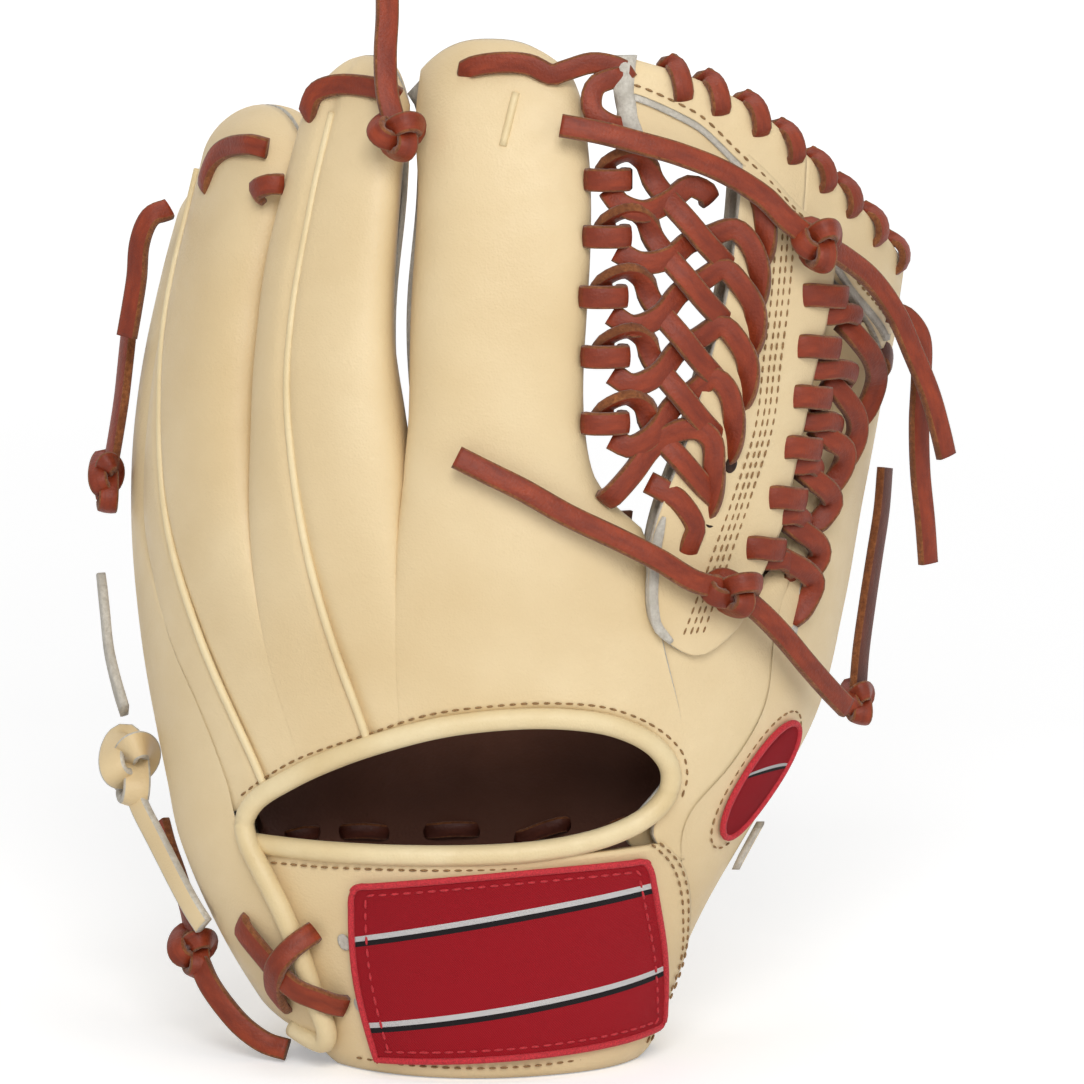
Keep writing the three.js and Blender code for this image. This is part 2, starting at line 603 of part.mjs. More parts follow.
// Free lace ends, each as the points it follows from its knot or hole to its cut end.
const TAILS = {
  fingertip_tail: ["fingertip_knot", [[-34, -22, 262], [-36, -19, 270], [-36.5, -16, 280],
    [-36, -14, 290], [-36, -13, 298], [-36, -12, 305]]],
  web_upper_tail: ["web_upper_knot", [[78, -20, 231], [72, -22, 236], [66, -23, 242],
    [55, -26, 249], [43, -29, 254], [33, -31, 257], [22, -32, 260], [11, -32, 262]]],
  web_crown_tail: ["web_upper_knot", [[83, -17, 228], [89, -10, 224], [97, -2, 217],
    [104, 4, 207], [109, 8, 196], [114, 10, 184], [117, 11, 174], [119, 12, 166]]],
  web_lower_tail: ["web_lower_knot", [[55, -34, 136], [47, -38, 139], [38, -41.5, 145],
    [27, -43.5, 151], [13, -45.5, 158], [1, -46.5, 165], [-9, -46.5, 170], [-17, -46, 174]]],
  web_thumb_tail: ["web_lower_knot", [[61, -31, 133], [67, -26, 127], [73, -21, 120],
    [79, -15, 112], [86, -7, 103], [91, -1, 97]]],
  thumb_tip_tail: [null, [[103, 18, 206], [108, 18, 204], [112, 20, 198], [112.5, 22, 188],
    [112, 22, 174], [112.5, 22, 160], [114, 22, 146], [115, 22, 134]]],
  thumb_side_lace: ["thumb_side_knot", [[97, 47, 93], [98, 50, 104], [100, 53, 118],
    [102, 55, 131], [104, 57, 144], [105, 59, 156]]],
  pinky_upper_tail: [null, [[-100, 46, 232], [-105, 43, 230], [-108, 42, 223],
    [-109, 42, 213], [-110.5, 42, 204], [-112, 42, 196]]],
  pinky_side_lace: ["pinky_side_knot", [[-118, 51, 157], [-116.5, 54, 166], [-115, 57, 176],
    [-114, 59, 185], [-113, 60, 194]]],
  heel_side_lace: ["heel_side_knot", [[-92, -2, 31], [-93.5, 3, 38], [-96.5, 9, 46],
    [-100, 15, 54], [-102, 19, 60]]],
  heel_side_tail: ["heel_side_knot", [[-90, -6, 25], [-87, -11, 20], [-82, -15, 14],
    [-77, -17, 9], [-71, -18, 5], [-65, -20, 3.6]]],
  pull_strap_tail: ["pull_strap_knot", [[-110, 19, 70], [-107.6, 14.6, 65], [-103.6, 8.6, 59],
    [-99.6, 2.6, 53], [-95.6, -3.4, 47], [-91.5, -8.4, 41], [-88.4, -11.4, 37]]],
};
const PULL_STRAP_TAB = [[-113, 30, 90], [-115.5, 34, 97], [-118, 39, 106], [-119.5, 45, 116],
  [-121, 51, 126]];

function addKnotsAndTails() {
  const lump = ([centre, radii, restsOn = 0], grow) => {
    const { x, y, z } = graded(centre);
    return new THREE.SphereGeometry(1, 10, 7)
      .scale(...radii.map((radius) => radius + grow)).translate(x, y - restsOn, z);
  };
  for (const [name, knot] of Object.entries(KNOTS)) {
    add(name, lump(knot, 0), name === "pull_strap_knot" ? "shell" : "lace");
  }
  for (const [name, [knot, route]] of Object.entries(TAILS)) {
    const steps = Math.max(6, Math.round(route.length * 1.5));
    const plain = tube(route.map(graded), LACE_WIDTH / 2, steps);
    const clear = knot && asSolid(plain).subtract(asSolid(lump(KNOTS[knot], FIT)));
    add(name, knot ? asGeometry(clear) : plain, name === "pull_strap_tail" ? "shell" : "lace");
  }
  const facing = new THREE.Vector3(-1, 0, 0.2);
  add("pull_strap_tab", flatLace(PULL_STRAP_TAB.map((place) => [graded(place), facing]), 5,
    LOOP_WIDTH, LACE_THICK), "suede");
}

addFingers();
addThumb();
addPalm();
addHeel();
addWrist();
addWelts();
addWeb();
addFingertipLaces();
addThumbTrim();
addKnotsAndTails();

// The origin is the middle of the foot of the box round everything but the free lace ends.
const box = new THREE.Box3();
for (const mesh of group.children) {
  if (!(mesh.name in TAILS)) box.expandByObject(mesh);
}
const centre = box.getCenter(new THREE.Vector3());
group.position.set(-centre.x, -centre.y, -box.min.z);

export default group;
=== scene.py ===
"""A left-hand fielding glove in cream leather with chestnut lacing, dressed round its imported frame.

The glove stands on its heel with the back of the hand towards -Y, the thumb towards +X and the
pocket towards +Y. The pattern below is written in millimetres, as a glove maker's is, on two
surfaces: the back of the glove and its palm. A place on either is an angle in degrees (0 straight
at the back, positive towards the thumb), a height, and a depth off the surface. Every finished
piece is placed in the frame's metres.
"""
import logging
import math
from collections.abc import Sequence
from dataclasses import dataclass, field
from enum import Enum

import bpy
import numpy as np
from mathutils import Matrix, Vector


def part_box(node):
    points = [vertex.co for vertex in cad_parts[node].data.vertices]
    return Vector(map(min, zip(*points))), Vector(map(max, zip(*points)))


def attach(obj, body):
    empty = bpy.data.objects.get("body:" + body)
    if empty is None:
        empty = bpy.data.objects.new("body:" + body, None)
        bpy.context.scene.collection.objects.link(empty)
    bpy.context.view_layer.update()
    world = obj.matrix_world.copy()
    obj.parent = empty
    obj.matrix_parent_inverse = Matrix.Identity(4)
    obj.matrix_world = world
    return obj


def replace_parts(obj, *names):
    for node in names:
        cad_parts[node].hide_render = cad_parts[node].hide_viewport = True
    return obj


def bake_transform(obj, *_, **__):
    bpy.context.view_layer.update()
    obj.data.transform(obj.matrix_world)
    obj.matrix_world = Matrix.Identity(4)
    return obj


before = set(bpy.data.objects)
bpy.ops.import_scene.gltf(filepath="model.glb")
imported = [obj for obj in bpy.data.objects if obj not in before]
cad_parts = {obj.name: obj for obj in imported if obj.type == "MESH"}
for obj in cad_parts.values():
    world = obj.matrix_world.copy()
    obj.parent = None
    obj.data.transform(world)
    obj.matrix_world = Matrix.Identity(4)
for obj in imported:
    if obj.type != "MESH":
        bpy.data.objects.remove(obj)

LOG = logging.getLogger("glove")
MM = 0.001
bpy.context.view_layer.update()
LEATHER = 2.4  # how thick the shell leather is, in millimetres
SETTLE = 7  # rounds in which a panel's heights and angles settle on each other

Stations = Sequence[tuple[float, float]]
Place = tuple[float, float, float]


class Body(str, Enum):
    """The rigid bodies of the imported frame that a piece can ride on."""

    FINGERS = "finger_side"
    POCKET = "pocket"
    THUMB = "thumb_side"


# ------------------------------------------------------------------------------------- the form
def along(stations: Stations, at: np.ndarray | float) -> np.ndarray:
    """A smooth curve through stations, level past both ends.

    Args:
        stations: Pairs of (position, value) in rising order of position.
        at: Where to read the curve.

    Returns:
        The value at each position.
    """
    places = np.array([s[0] for s in stations], float)
    values = np.array([s[1] for s in stations], float)
    at = np.asarray(at, float)
    i = np.clip(np.searchsorted(places, at) - 1, 0, len(places) - 2)
    slopes = np.empty(len(values))
    slopes[1:-1] = (values[2:] - values[:-2]) / (places[2:] - places[:-2])
    slopes[0] = (values[1] - values[0]) / (places[1] - places[0])
    slopes[-1] = (values[-1] - values[-2]) / (places[-1] - places[-2])
    span = places[i + 1] - places[i]
    t = np.clip((at - places[i]) / span, 0, 1)
    return ((2 * t**3 - 3 * t**2 + 1) * values[i] + (t**3 - 2 * t**2 + t) * span * slopes[i]
            + (3 * t**2 - 2 * t**3) * values[i + 1] + (t**3 - t**2) * span * slopes[i + 1])


def ramp(low: float, high: float, at: np.ndarray | float) -> np.ndarray:
    """A smooth step from 0 at low to 1 at high."""
    t = np.clip((np.asarray(at, float) - low) / (high - low), 0, 1)
    return t * t * (3 - 2 * t)


@dataclass(frozen=True)
class Form:
    """The two surfaces that every leather piece follows, in pattern millimetres."""

    pinky_side: Stations = ((0, 62), (30, 81), (60, 95), (90, 104), (120, 110), (150, 111.5),
                            (180, 109), (210, 103), (240, 95), (284, 84))
    thumb_side: Stations = ((0, 38), (30, 49), (60, 65), (90, 84), (120, 93), (150, 98),
                            (180, 103), (210, 109), (240, 112), (284, 112))
    centre: Stations = ((0, 0), (35, 3), (65, 12), (95, 30), (125, 48), (155, 58), (200, 63),
                        (240, 71), (284, 84))
    arc_depth: Stations = ((0, 42), (35, 45), (65, 54), (95, 72), (125, 90), (155, 99),
                           (200, 101), (284, 101))
    palm_depth: Stations = ((0, 78), (35, 78), (65, 70), (95, 52), (125, 37), (155, 32),
                            (200, 30), (240, 27), (284, 22))
    side_depth: Stations = ((0, 9), (35, 10), (65, 14), (95, 20), (125, 26), (155, 28),
                            (200, 28), (240, 26), (284, 22))

    def _arc(self, angle: np.ndarray, height: np.ndarray, narrower: np.ndarray | float,
             shallower: np.ndarray | float, depth: np.ndarray | float) -> np.ndarray:
        """Points of the arcs of one surface, moved off it by a depth."""
        angle, height = np.broadcast_arrays(np.asarray(angle, float), np.asarray(height, float))
        left, right = along(self.pinky_side, height), along(self.thumb_side, height)
        half_width = (left + right) / 2 - narrower
        arc_depth = along(self.arc_depth, height) - shallower
        turn = np.radians(angle)
        inward = np.stack([-arc_depth * np.sin(turn), half_width * np.cos(turn),
                           np.zeros_like(turn)], -1)
        inward /= np.linalg.norm(inward, axis=-1, keepdims=True)
        point = np.stack([(right - left) / 2 + half_width * np.sin(turn),
                          along(self.centre, height) - arc_depth * np.cos(turn), height], -1)
        return point + inward * np.asarray(depth, float)[..., None]

    def back(self, angle: np.ndarray, height: np.ndarray,
             depth: np.ndarray | float = 0.0) -> np.ndarray:
        """Points of the back surface; a positive depth goes into the glove."""
        return self._arc(angle, height, 0.0, 0.0, depth)

    def palm(self, angle: np.ndarray, height: np.ndarray,
             depth: np.ndarray | float = 0.0) -> np.ndarray:
        """Points of the palm surface; a positive depth goes out into the pocket."""
        return self._arc(angle, height, along(self.side_depth, height),
                         along(self.palm_depth, height), depth)

    def between(self, angle: np.ndarray, height: np.ndarray, share: np.ndarray) -> np.ndarray:
        """Points at a share of the way from the back surface (0) to the palm surface (1)."""
        near = self.back(angle, height)
        return near + (self.palm(angle, height) - near) * np.asarray(share, float)[..., None]

    def outward(self, angle: np.ndarray, height: np.ndarray) -> np.ndarray:
        """The unit normal of the back surface, out of the glove."""
        return self.back(angle, height, -1.0) - self.back(angle, height)

    def degrees(self, width: np.ndarray | float, height: np.ndarray | float) -> np.ndarray:
        """Degrees of arc that a width in millimetres takes at a height."""
        step = self.back(np.ones_like(np.asarray(height, float)), height) - self.back(
            np.zeros_like(np.asarray(height, float)), height)
        return width / np.linalg.norm(step, axis=-1)


FORM = Form()
DRAWN_IN = (1.0, 0.45)  # a lace's widths where its end is drawn into a hole
OVERLOCK = 0.95  # how thick the thread of an overlocked edge is
OVERLOCK_STEP = 0.75  # from one of its stitches to the next
FINGERTIP_KNOT = (-33.0, -24.0, 259.0)


def _pattern_origin() -> np.ndarray:
    """Where the pattern's origin lies in the frame, from a knot whose place is known in both."""
    low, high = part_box("fingertip_knot")
    return (np.array(low) + np.array(high)) / 2 - np.array(FINGERTIP_KNOT) * MM


ORIGIN = _pattern_origin()


def to_frame(points: np.ndarray) -> np.ndarray:
    """Pattern millimetres to the frame's metres."""
    return np.asarray(points, float) * MM + ORIGIN


# The seams of the pattern: (height, angle).
INDEX_MIDDLE = ((95, -14), (145, -15), (181, -16.2), (207, -18.6), (241, -21.6), (262, -23.5),
                (283, -24))
MIDDLE_RING = ((90, -33), (115, -37), (142, -41), (174, -45), (201, -48), (230, -50), (275, -48))
RING_PINKY = ((11, -44.5), (22, -43), (36, -41.8), (48, -43.4), (57, -46), (64, -48.6), (71, -50),
              (80, -51), (99, -56), (111, -61), (130, -69), (148, -77), (200, -82), (260, -84))
PINKY_OUTER = ((0, -88), (60, -96), (110, -104), (150, -110), (284, -110))
INDEX_WEB = ((80, 39), (97, 34), (125, 27), (151, 24), (158, 20), (168, 16.5), (182, 14),
             (200, 12), (227, 10), (254, 7.5), (283, 3))
THUMB_SEAM = ((4, 64), (23, 72), (40, 62), (57, 50), (66, 45), (74, 44), (84, 48), (100, 52),
              (121, 51), (146, 55), (160, 61), (172, 68), (187, 73), (214, 80))
THUMB_OUTER = ((0, 90), (60, 92), (110, 98), (214, 99))
STRAP_RIGHT = ((0, 66), (7, 70), (23, 76), (40, 64), (57, 50), (66, 39))
OPENING_EDGE = ((-56, 70), (-49, 72), (-43, 78), (-36, 83.5), (-31, 87.6), (-20, 94.5),
                (-9, 101), (3, 103.5), (11, 104), (19, 102), (27, 97), (34, 89), (39, 80))
CROWN_TOP = ((8, 280), (21, 273), (33, 263), (40, 254), (47, 246), (55, 237), (64, 228),
             (75, 219))
CROWN_RAW = ((8, 271), (12, 269), (18.5, 264), (22, 260.5), (28, 251.5), (34, 243), (40, 234),
             (45.5, 228), (56, 213), (72, 198))


# -------------------------------------------------------------------------------------- finishes
def tone(red: int, green: int, blue: int) -> tuple[float, float, float, float]:
    """A colour written as it looks on a screen, as the linear one a shader takes."""
    channels = [c / 255 for c in (red, green, blue)]
    return (*[c / 12.92 if c <= 0.04045 else ((c + 0.055) / 1.055) ** 2.4 for c in channels], 1.0)


class NodeTree:
    """A small hand for laying out the shader nodes of a material or a world."""

    def __init__(self, name: str, world: bool = False) -> None:
        """Starts an empty node material, or world, of that name."""
        self.material = (bpy.data.worlds if world else bpy.data.materials).new(name)
        self.material.use_nodes = True
        self.tree = self.material.node_tree
        self.tree.nodes.clear()

    def add(self, kind: str, inputs: dict | None = None, **settings: object) -> bpy.types.Node:
        """Adds a node.

        Args:
            kind: The node type's name without "ShaderNode".
            inputs: Socket name or number to a value, or to an output socket to link.
            settings: Properties of the node.

        Returns:
            The node.
        """
        node = self.tree.nodes.new("ShaderNode" + kind)
        for key, value in settings.items():
            setattr(node, key, value)
        for key, value in (inputs or {}).items():
            if isinstance(value, bpy.types.NodeSocket):
                self.tree.links.new(value, node.inputs[key])
            else:
                node.inputs[key].default_value = value
        return node

    def math(self, operation: str, *values: object) -> bpy.types.NodeSocket:
        """The result of a sum on one to three values."""
        return self.add("Math", dict(enumerate(values)), operation=operation).outputs[0]

    def mix(self, factor: object, first: object, second: object) -> bpy.types.NodeSocket:
        """Mixes two colours and returns the result's socket."""
        return self.add("Mix", {0: factor, 6: first, 7: second}, data_type="RGBA").outputs[2]

    def looked_at(self) -> bpy.types.NodeSocket:
        """1 where the camera looks, straight, by a shine or through a clear piece."""
        path = self.add("LightPath").outputs
        shine = self.math("MAXIMUM", path["Is Camera Ray"], path["Is Glossy Ray"])
        return self.math("MAXIMUM", shine, path["Is Transmission Ray"])

    def spread(self, value: bpy.types.NodeSocket, low: float, high: float) -> bpy.types.NodeSocket:
        """Stretches low to high over 0 to 1."""
        return self.add("MapRange", {0: value, 1: low, 2: high}).outputs[0]

    def where(self) -> bpy.types.NodeSocket:
        """The Object coordinates of the surface."""
        return self.add("TexCoord").outputs["Object"]

    def along_piece(self) -> bpy.types.NodeSocket:
        """The piece's own UV coordinates."""
        return self.add("TexCoord").outputs["UV"]

    def noise(self, vector: bpy.types.NodeSocket, scale: float, detail: float = 3.0,
              rough: float = 0.55) -> bpy.types.NodeSocket:
        """A noise texture's value."""
        return self.add("TexNoise", {"Vector": vector, "Scale": scale, "Detail": detail,
                                     "Roughness": rough}).outputs[0]

    def finish(self, colour: bpy.types.NodeSocket, height: bpy.types.NodeSocket, relief: float,
               roughness: bpy.types.NodeSocket | float, **sockets: float) -> bpy.types.Material:
        """Ends the tree in a surface shader.

        Args:
            colour: The base colour.
            height: The bump height, 0 to 1.
            relief: The bump's full height in metres.
            roughness: The roughness.
            sockets: Values of other sockets of the shader, with underscores for spaces.

        Returns:
            The finished material.
        """
        bump = self.add("Bump", {"Height": height, "Distance": relief, "Strength": 1.0})
        shader = self.add("BsdfPrincipled", {"Base Color": colour, "Roughness": roughness,
                                             "Normal": bump.outputs[0]})
        for key, value in sockets.items():
            shader.inputs[key.replace("_", " ")].default_value = value
        self.tree.links.new(shader.outputs[0], self.add("OutputMaterial").inputs[0])
        return self.material


@dataclass(frozen=True)
class Leather:
    """Smooth tanned leather: two tones in soft clouds, fine pores and a low sheen."""

    name: str
    light: tuple[float, ...]
    dark: tuple[float, ...]
    roughness: float = 0.5
    pores: float = 1500.0
    relief: float = 0.00012
    clouds: float = 16.0
    sheen: float = 0.05

    def build(self) -> bpy.types.Material:
        """Builds the material."""
        t = NodeTree(self.name)
        where = t.where()
        cloud = t.spread(t.noise(where, self.clouds, 3.0), 0.3, 0.7)
        mottle = t.spread(t.noise(where, self.clouds * 9, 4.0), 0.35, 0.75)
        pores = t.add("TexVoronoi", {"Vector": where, "Scale": self.pores}).outputs["Distance"]
        grain = t.noise(where, self.pores * 0.35, 4.0, 0.6)
        creases = t.noise(where, 120.0, 5.0, 0.65)
        colour = t.mix(cloud, self.light, self.dark)
        speck = t.mix(0.35, self.dark, self.light)
        colour = t.mix(t.math("MULTIPLY", mottle, 0.3), colour, speck)
        height = t.math("MULTIPLY_ADD", pores, 0.5, grain)
        height = t.math("MULTIPLY_ADD", creases, 0.8, height)
        rough = t.add("MapRange", {0: mottle, 1: 0.0, 2: 1.0, 3: self.roughness - 0.05,
                                   4: self.roughness + 0.07}).outputs[0]
        return t.finish(colour, height, self.relief, rough, Sheen_Weight=self.sheen,
                        Specular_IOR_Level=0.42)


@dataclass(frozen=True)
class Fibre:
    """A raw cut edge or flesh side: fibrous, matt and uneven in colour."""

    name: str
    light: tuple[float, ...]
    dark: tuple[float, ...]
    fineness: float = 900.0
    relief: float = 0.0004

    def build(self) -> bpy.types.Material:
        """Builds the material."""
        t = NodeTree(self.name)
        where = t.where()
        fibres = t.noise(where, self.fineness, 6.0, 0.7)
        patches = t.noise(where, self.fineness / 6, 3.0)
        colour = t.mix(t.spread(fibres, 0.32, 0.68), self.dark, self.light)
        colour = t.mix(t.spread(patches, 0.4, 0.8), colour, self.dark)
        return t.finish(colour, fibres, self.relief, 0.95, Sheen_Weight=0.2,
                        Specular_IOR_Level=0.2)


@dataclass(frozen=True)
class LaceHide:
    """Waxed lace: streaked along its length, glossy on its face, with tiny cross wrinkles."""

    name: str
    light: tuple[float, ...]
    dark: tuple[float, ...]

    def build(self) -> bpy.types.Material:
        """Builds the material; the piece's UV runs round the lace and along it in metres."""
        t = NodeTree(self.name)
        uv = t.along_piece()
        streak_map = t.add("Mapping", {"Vector": uv, "Scale": (6.0, 90.0, 1.0)}).outputs[0]
        wrinkle_map = t.add("Mapping", {"Vector": uv, "Scale": (2.0, 700.0, 1.0)}).outputs[0]
        streaks = t.noise(streak_map, 1.0, 4.0, 0.6)
        wrinkles = t.noise(wrinkle_map, 1.0, 3.0, 0.6)
        grain = t.noise(t.where(), 1400.0, 3.0)
        patches = t.noise(t.where(), 70.0, 3.0)
        colour = t.mix(t.spread(streaks, 0.3, 0.75), self.dark, self.light)
        colour = t.mix(t.spread(patches, 0.45, 0.85), colour, self.dark)
        height = t.math("MULTIPLY_ADD", wrinkles, 0.7, grain)
        return t.finish(colour, height, 0.00018, 0.45, Specular_IOR_Level=0.3)


@dataclass(frozen=True)
class Thread:
    """Twisted sewing thread."""

    name: str
    light: tuple[float, ...]
    dark: tuple[float, ...]

    def build(self) -> bpy.types.Material:
        """Builds the material."""
        t = NodeTree(self.name)
        ply = t.noise(t.where(), 2600.0, 2.0)
        colour = t.mix(t.spread(ply, 0.35, 0.65), self.dark, self.light)
        return t.finish(colour, ply, 0.0002, 0.75, Sheen_Weight=0.08)


@dataclass(frozen=True)
class PatchCloth:
    """Woven twill with two slanting bands of stripes; its UV is in shares of the patch."""

    name: str = "patch twill"
    ground: tuple[float, ...] = tone(196, 24, 40)
    ground_dark: tuple[float, ...] = tone(160, 14, 28)
    pale: tuple[float, ...] = tone(232, 230, 228)
    black: tuple[float, ...] = tone(30, 26, 28)
    slant: float = 0.16
    bands: tuple[float, ...] = (0.70, 0.20)
    pale_width: float = 0.030
    black_width: float = 0.030
    threads: float = 75.0

    def _band(self, t: NodeTree, across: bpy.types.NodeSocket, at: float,
              width: float) -> bpy.types.NodeSocket:
        """1 inside a stripe centred at a place across the patch, 0 outside it."""
        return t.math("COMPARE", across, at, width / 2)

    def build(self) -> bpy.types.Material:
        """Builds the material."""
        t = NodeTree(self.name)
        uv = t.along_piece()
        split = t.add("SeparateXYZ", {0: uv})
        across = t.math("MULTIPLY_ADD", split.outputs[0], -self.slant, split.outputs[1])
        twill_map = t.add("Mapping", {"Vector": uv, "Rotation": (0, 0, math.radians(38)),
                                      "Scale": (self.threads, self.threads * 0.62, 1)}).outputs[0]
        twill = t.add("TexWave", {"Vector": twill_map, "Scale": 1.0, "Distortion": 1.2,
                                  "Detail": 1.0, "Detail Scale": 2.0}).outputs[1]
        fuzz = t.noise(t.where(), 1600.0, 3.0)
        colour = t.mix(t.spread(twill, 0.1, 0.9), self.ground_dark, self.ground)
        for at in self.bands:
            colour = t.mix(self._band(t, across, at, self.pale_width), colour, self.pale)
            colour = t.mix(self._band(t, across, at - self.pale_width, self.black_width), colour,
                           self.black)
        height = t.math("MULTIPLY_ADD", fuzz, 0.5, twill)
        return t.finish(colour, height, 0.0003, 0.85, Sheen_Weight=0.03, Specular_IOR_Level=0.2)


@dataclass(frozen=True)
class Felt:
    """Pressed wool of the heel pads."""

    name: str = "heel felt"

    def build(self) -> bpy.types.Material:
        """Builds the material."""
        t = NodeTree(self.name)
        wool = t.noise(t.where(), 700.0, 8.0, 0.75)
        colour = t.mix(t.spread(wool, 0.3, 0.7), tone(190, 186, 176), tone(222, 219, 210))
        return t.finish(colour, wool, 0.0006, 1.0, Sheen_Weight=0.4)


class Finish(Enum):
    """Every finish of the glove."""

    SHELL = Leather("shell leather", tone(231, 209, 167), tone(214, 188, 142))
    BINDING = Leather("rolled binding leather", tone(234, 216, 174), tone(216, 192, 144),
                      roughness=0.46, clouds=30.0)
    LINING = Leather("lining leather", tone(122, 78, 60), tone(92, 57, 44), roughness=0.62,
                     pores=1000.0, relief=0.0002)
    LACE = LaceHide("lace hide", tone(156, 63, 32), tone(108, 39, 20))
    LACE_EDGE = Fibre("lace flesh", tone(158, 98, 56), tone(102, 56, 32))
    # The lace hide darkened by painted shade, for laces that lie in shade: the heel stitches inside
    # the glove, the thumb's far side and the web lace's return into the thumb.
    LACE_PAINTED_SHADE = LaceHide("lace hide with painted shade", tone(112, 58, 42), tone(74, 36, 26))
    SUEDE = Fibre("flesh side", tone(222, 216, 204), tone(184, 177, 164), 700.0, 0.0006)
    THREAD = Thread("brown thread", tone(160, 124, 78), tone(118, 86, 50))
    RED_THREAD = Thread("red thread", tone(206, 44, 54), tone(158, 20, 32))
    PATCH = PatchCloth()
    DISC = PatchCloth("disc twill", bands=(0.62,), slant=0.0, threads=34.0)
    FELT = Felt()
    # The dark inside of a punched hole as painted shade: a disc where the hole's depth lies in shade.
    PAINTED_HOLE_SHADE = Fibre("punched hole with painted shade", tone(70, 46, 34), tone(34, 22, 16), 900.0, 0.0002)

    @property
    def material(self) -> bpy.types.Material:
        """The finish's material, built once."""
        return bpy.data.materials.get(self.value.name) or self.value.build()


HIDE = (Finish.SHELL, Finish.SUEDE, Finish.SUEDE)
LACED = (Finish.LACE, Finish.LACE_EDGE)


# ------------------------------------------------------------------------------------ the bench
@dataclass
class Cloth:
    """Points, faces and face slots of a mesh that is being made."""

    points: list[np.ndarray] = field(default_factory=list)
    faces: list[list[int]] = field(default_factory=list)
    slots: list[int] = field(default_factory=list)
    uvs: list[np.ndarray] = field(default_factory=list)
    count: int = 0

    def add(self, points: np.ndarray, faces: list[list[int]], slots: list[int],
            uvs: np.ndarray | None = None) -> None:
        """Adds one closed solid, turned so that its faces point outwards.

        Args:
            points: Its corners, in pattern millimetres.
            faces: Corner numbers of each face.
            slots: The finish slot of each face.
            uvs: One (u, v) for each corner, or None.
        """
        points = np.asarray(points, float).reshape(-1, 3)
        corner = np.array([(face * 2)[:4] if len(face) > 3 else [*face, face[-1]]
                           for face in faces])
        a, b, c, d = (points[corner[:, k]] - points.mean(0) for k in range(4))
        volume = (a * np.cross(b, c)).sum() + (a * np.cross(c, d)).sum()
        turned = [face[::-1] for face in faces] if volume < 0 else faces
        self.faces.extend([[k + self.count for k in face] for face in turned])
        self.slots.extend(slots)
        self.points.append(points)
        self.uvs.append(np.zeros((len(points), 2)) if uvs is None else np.asarray(uvs, float))
        self.count += len(points)

    def piece(self, name: str, finishes: Sequence[Finish], slot: str,
              flat: bool = False) -> bpy.types.Object:
        """Makes the object.

        Args:
            name: The piece's name.
            finishes: The finish of each slot.
            slot: Not used.
            flat: True for faceted shading.

        Returns:
            The object, at the origin, with its place in its mesh.
        """
        mesh = bpy.data.meshes.new(name)
        mesh.from_pydata(to_frame(np.concatenate(self.points)).tolist(), [], self.faces)
        mesh.polygons.foreach_set("material_index", self.slots)
        mesh.polygons.foreach_set("use_smooth", [not flat] * len(self.faces))
        corners = np.empty(len(mesh.loops), int)
        mesh.loops.foreach_get("vertex_index", corners)
        layer = mesh.uv_layers.new(name="UVMap")
        layer.data.foreach_set("uv", np.concatenate(self.uvs)[corners].ravel())
        for finish in finishes:
            mesh.materials.append(finish.material)
        mesh.update()
        obj = bpy.data.objects.new(name, mesh)
        bpy.context.scene.collection.objects.link(obj)
        LOG.info("%s: %d faces", name, len(self.faces))
        return obj


def slab(cloth: Cloth, outer: np.ndarray, inner: np.ndarray,
         slots: tuple[int, int, int] = (0, 1, 2)) -> None:
    """Adds the closed solid between two grids of points.

    Args:
        cloth: What it is added to.
        outer: The face that shows, rows by columns by 3.
        inner: The face behind it.
        slots: Finish slots of the outer face, the inner face and the cut edges.
    """
    rows, cols = outer.shape[:2]
    size = rows * cols
    r, c = np.meshgrid(np.arange(rows - 1), np.arange(cols - 1), indexing="ij")
    k = (r * cols + c).ravel()
    front = np.stack([k, k + 1, k + cols + 1, k + cols], -1)
    rear = front[:, ::-1] + size
    low = np.arange(cols - 1)
    high = (rows - 1) * cols + low
    side = np.arange(rows - 1) * cols
    edge = side + cols - 1
    rims = np.concatenate([
        np.stack([low + 1, low, low + size, low + 1 + size], -1),
        np.stack([high, high + 1, high + 1 + size, high + size], -1),
        np.stack([side, side + cols, side + cols + size, side + size], -1),
        np.stack([edge + cols, edge, edge + size, edge + cols + size], -1)])
    faces = np.concatenate([front, rear, rims]).tolist()
    marks = [slots[0]] * len(front) + [slots[1]] * len(rear) + [slots[2]] * len(rims)
    u, v = share_grid(cols, rows)
    uv = np.stack([u, v], -1).reshape(-1, 2)
    cloth.add(np.concatenate([outer.reshape(-1, 3), inner.reshape(-1, 3)]), faces, marks,
              np.concatenate([uv, uv]))


def smooth_route(stops: np.ndarray, count: int) -> np.ndarray:
    """Points evenly spaced on one smooth curve through stops.

    Args:
        stops: The places it goes through, with any extra columns smoothed alike.
        count: How many points to give.

    Returns:
        An array of count rows.
    """
    stops = np.asarray(stops, float)
    gaps = np.linalg.norm(np.diff(stops[:, :3], axis=0), axis=1)
    at = np.concatenate([[0], np.cumsum(np.maximum(gaps, 1e-6))])
    fine = np.linspace(0, at[-1], max(count * 6, 60))
    curve = np.stack([along(list(zip(at, column)), fine) for column in stops.T], -1)
    lengths = np.concatenate([[0], np.cumsum(np.linalg.norm(np.diff(curve[:, :3], axis=0),
                                                            axis=1))])
    even = np.linspace(0, lengths[-1], count)
    return np.stack([np.interp(even, lengths, column) for column in curve.T], -1)


def share_grid(columns: int, rows: int) -> tuple[np.ndarray, np.ndarray]:
    """Grids of the share across and the share up, each from 0 to 1."""
    return np.meshgrid(np.linspace(0, 1, columns), np.linspace(0, 1, rows))


def unit(vectors: np.ndarray) -> np.ndarray:
    """Vectors at length 1."""
    return vectors / np.maximum(np.linalg.norm(vectors, axis=-1, keepdims=True), 1e-12)


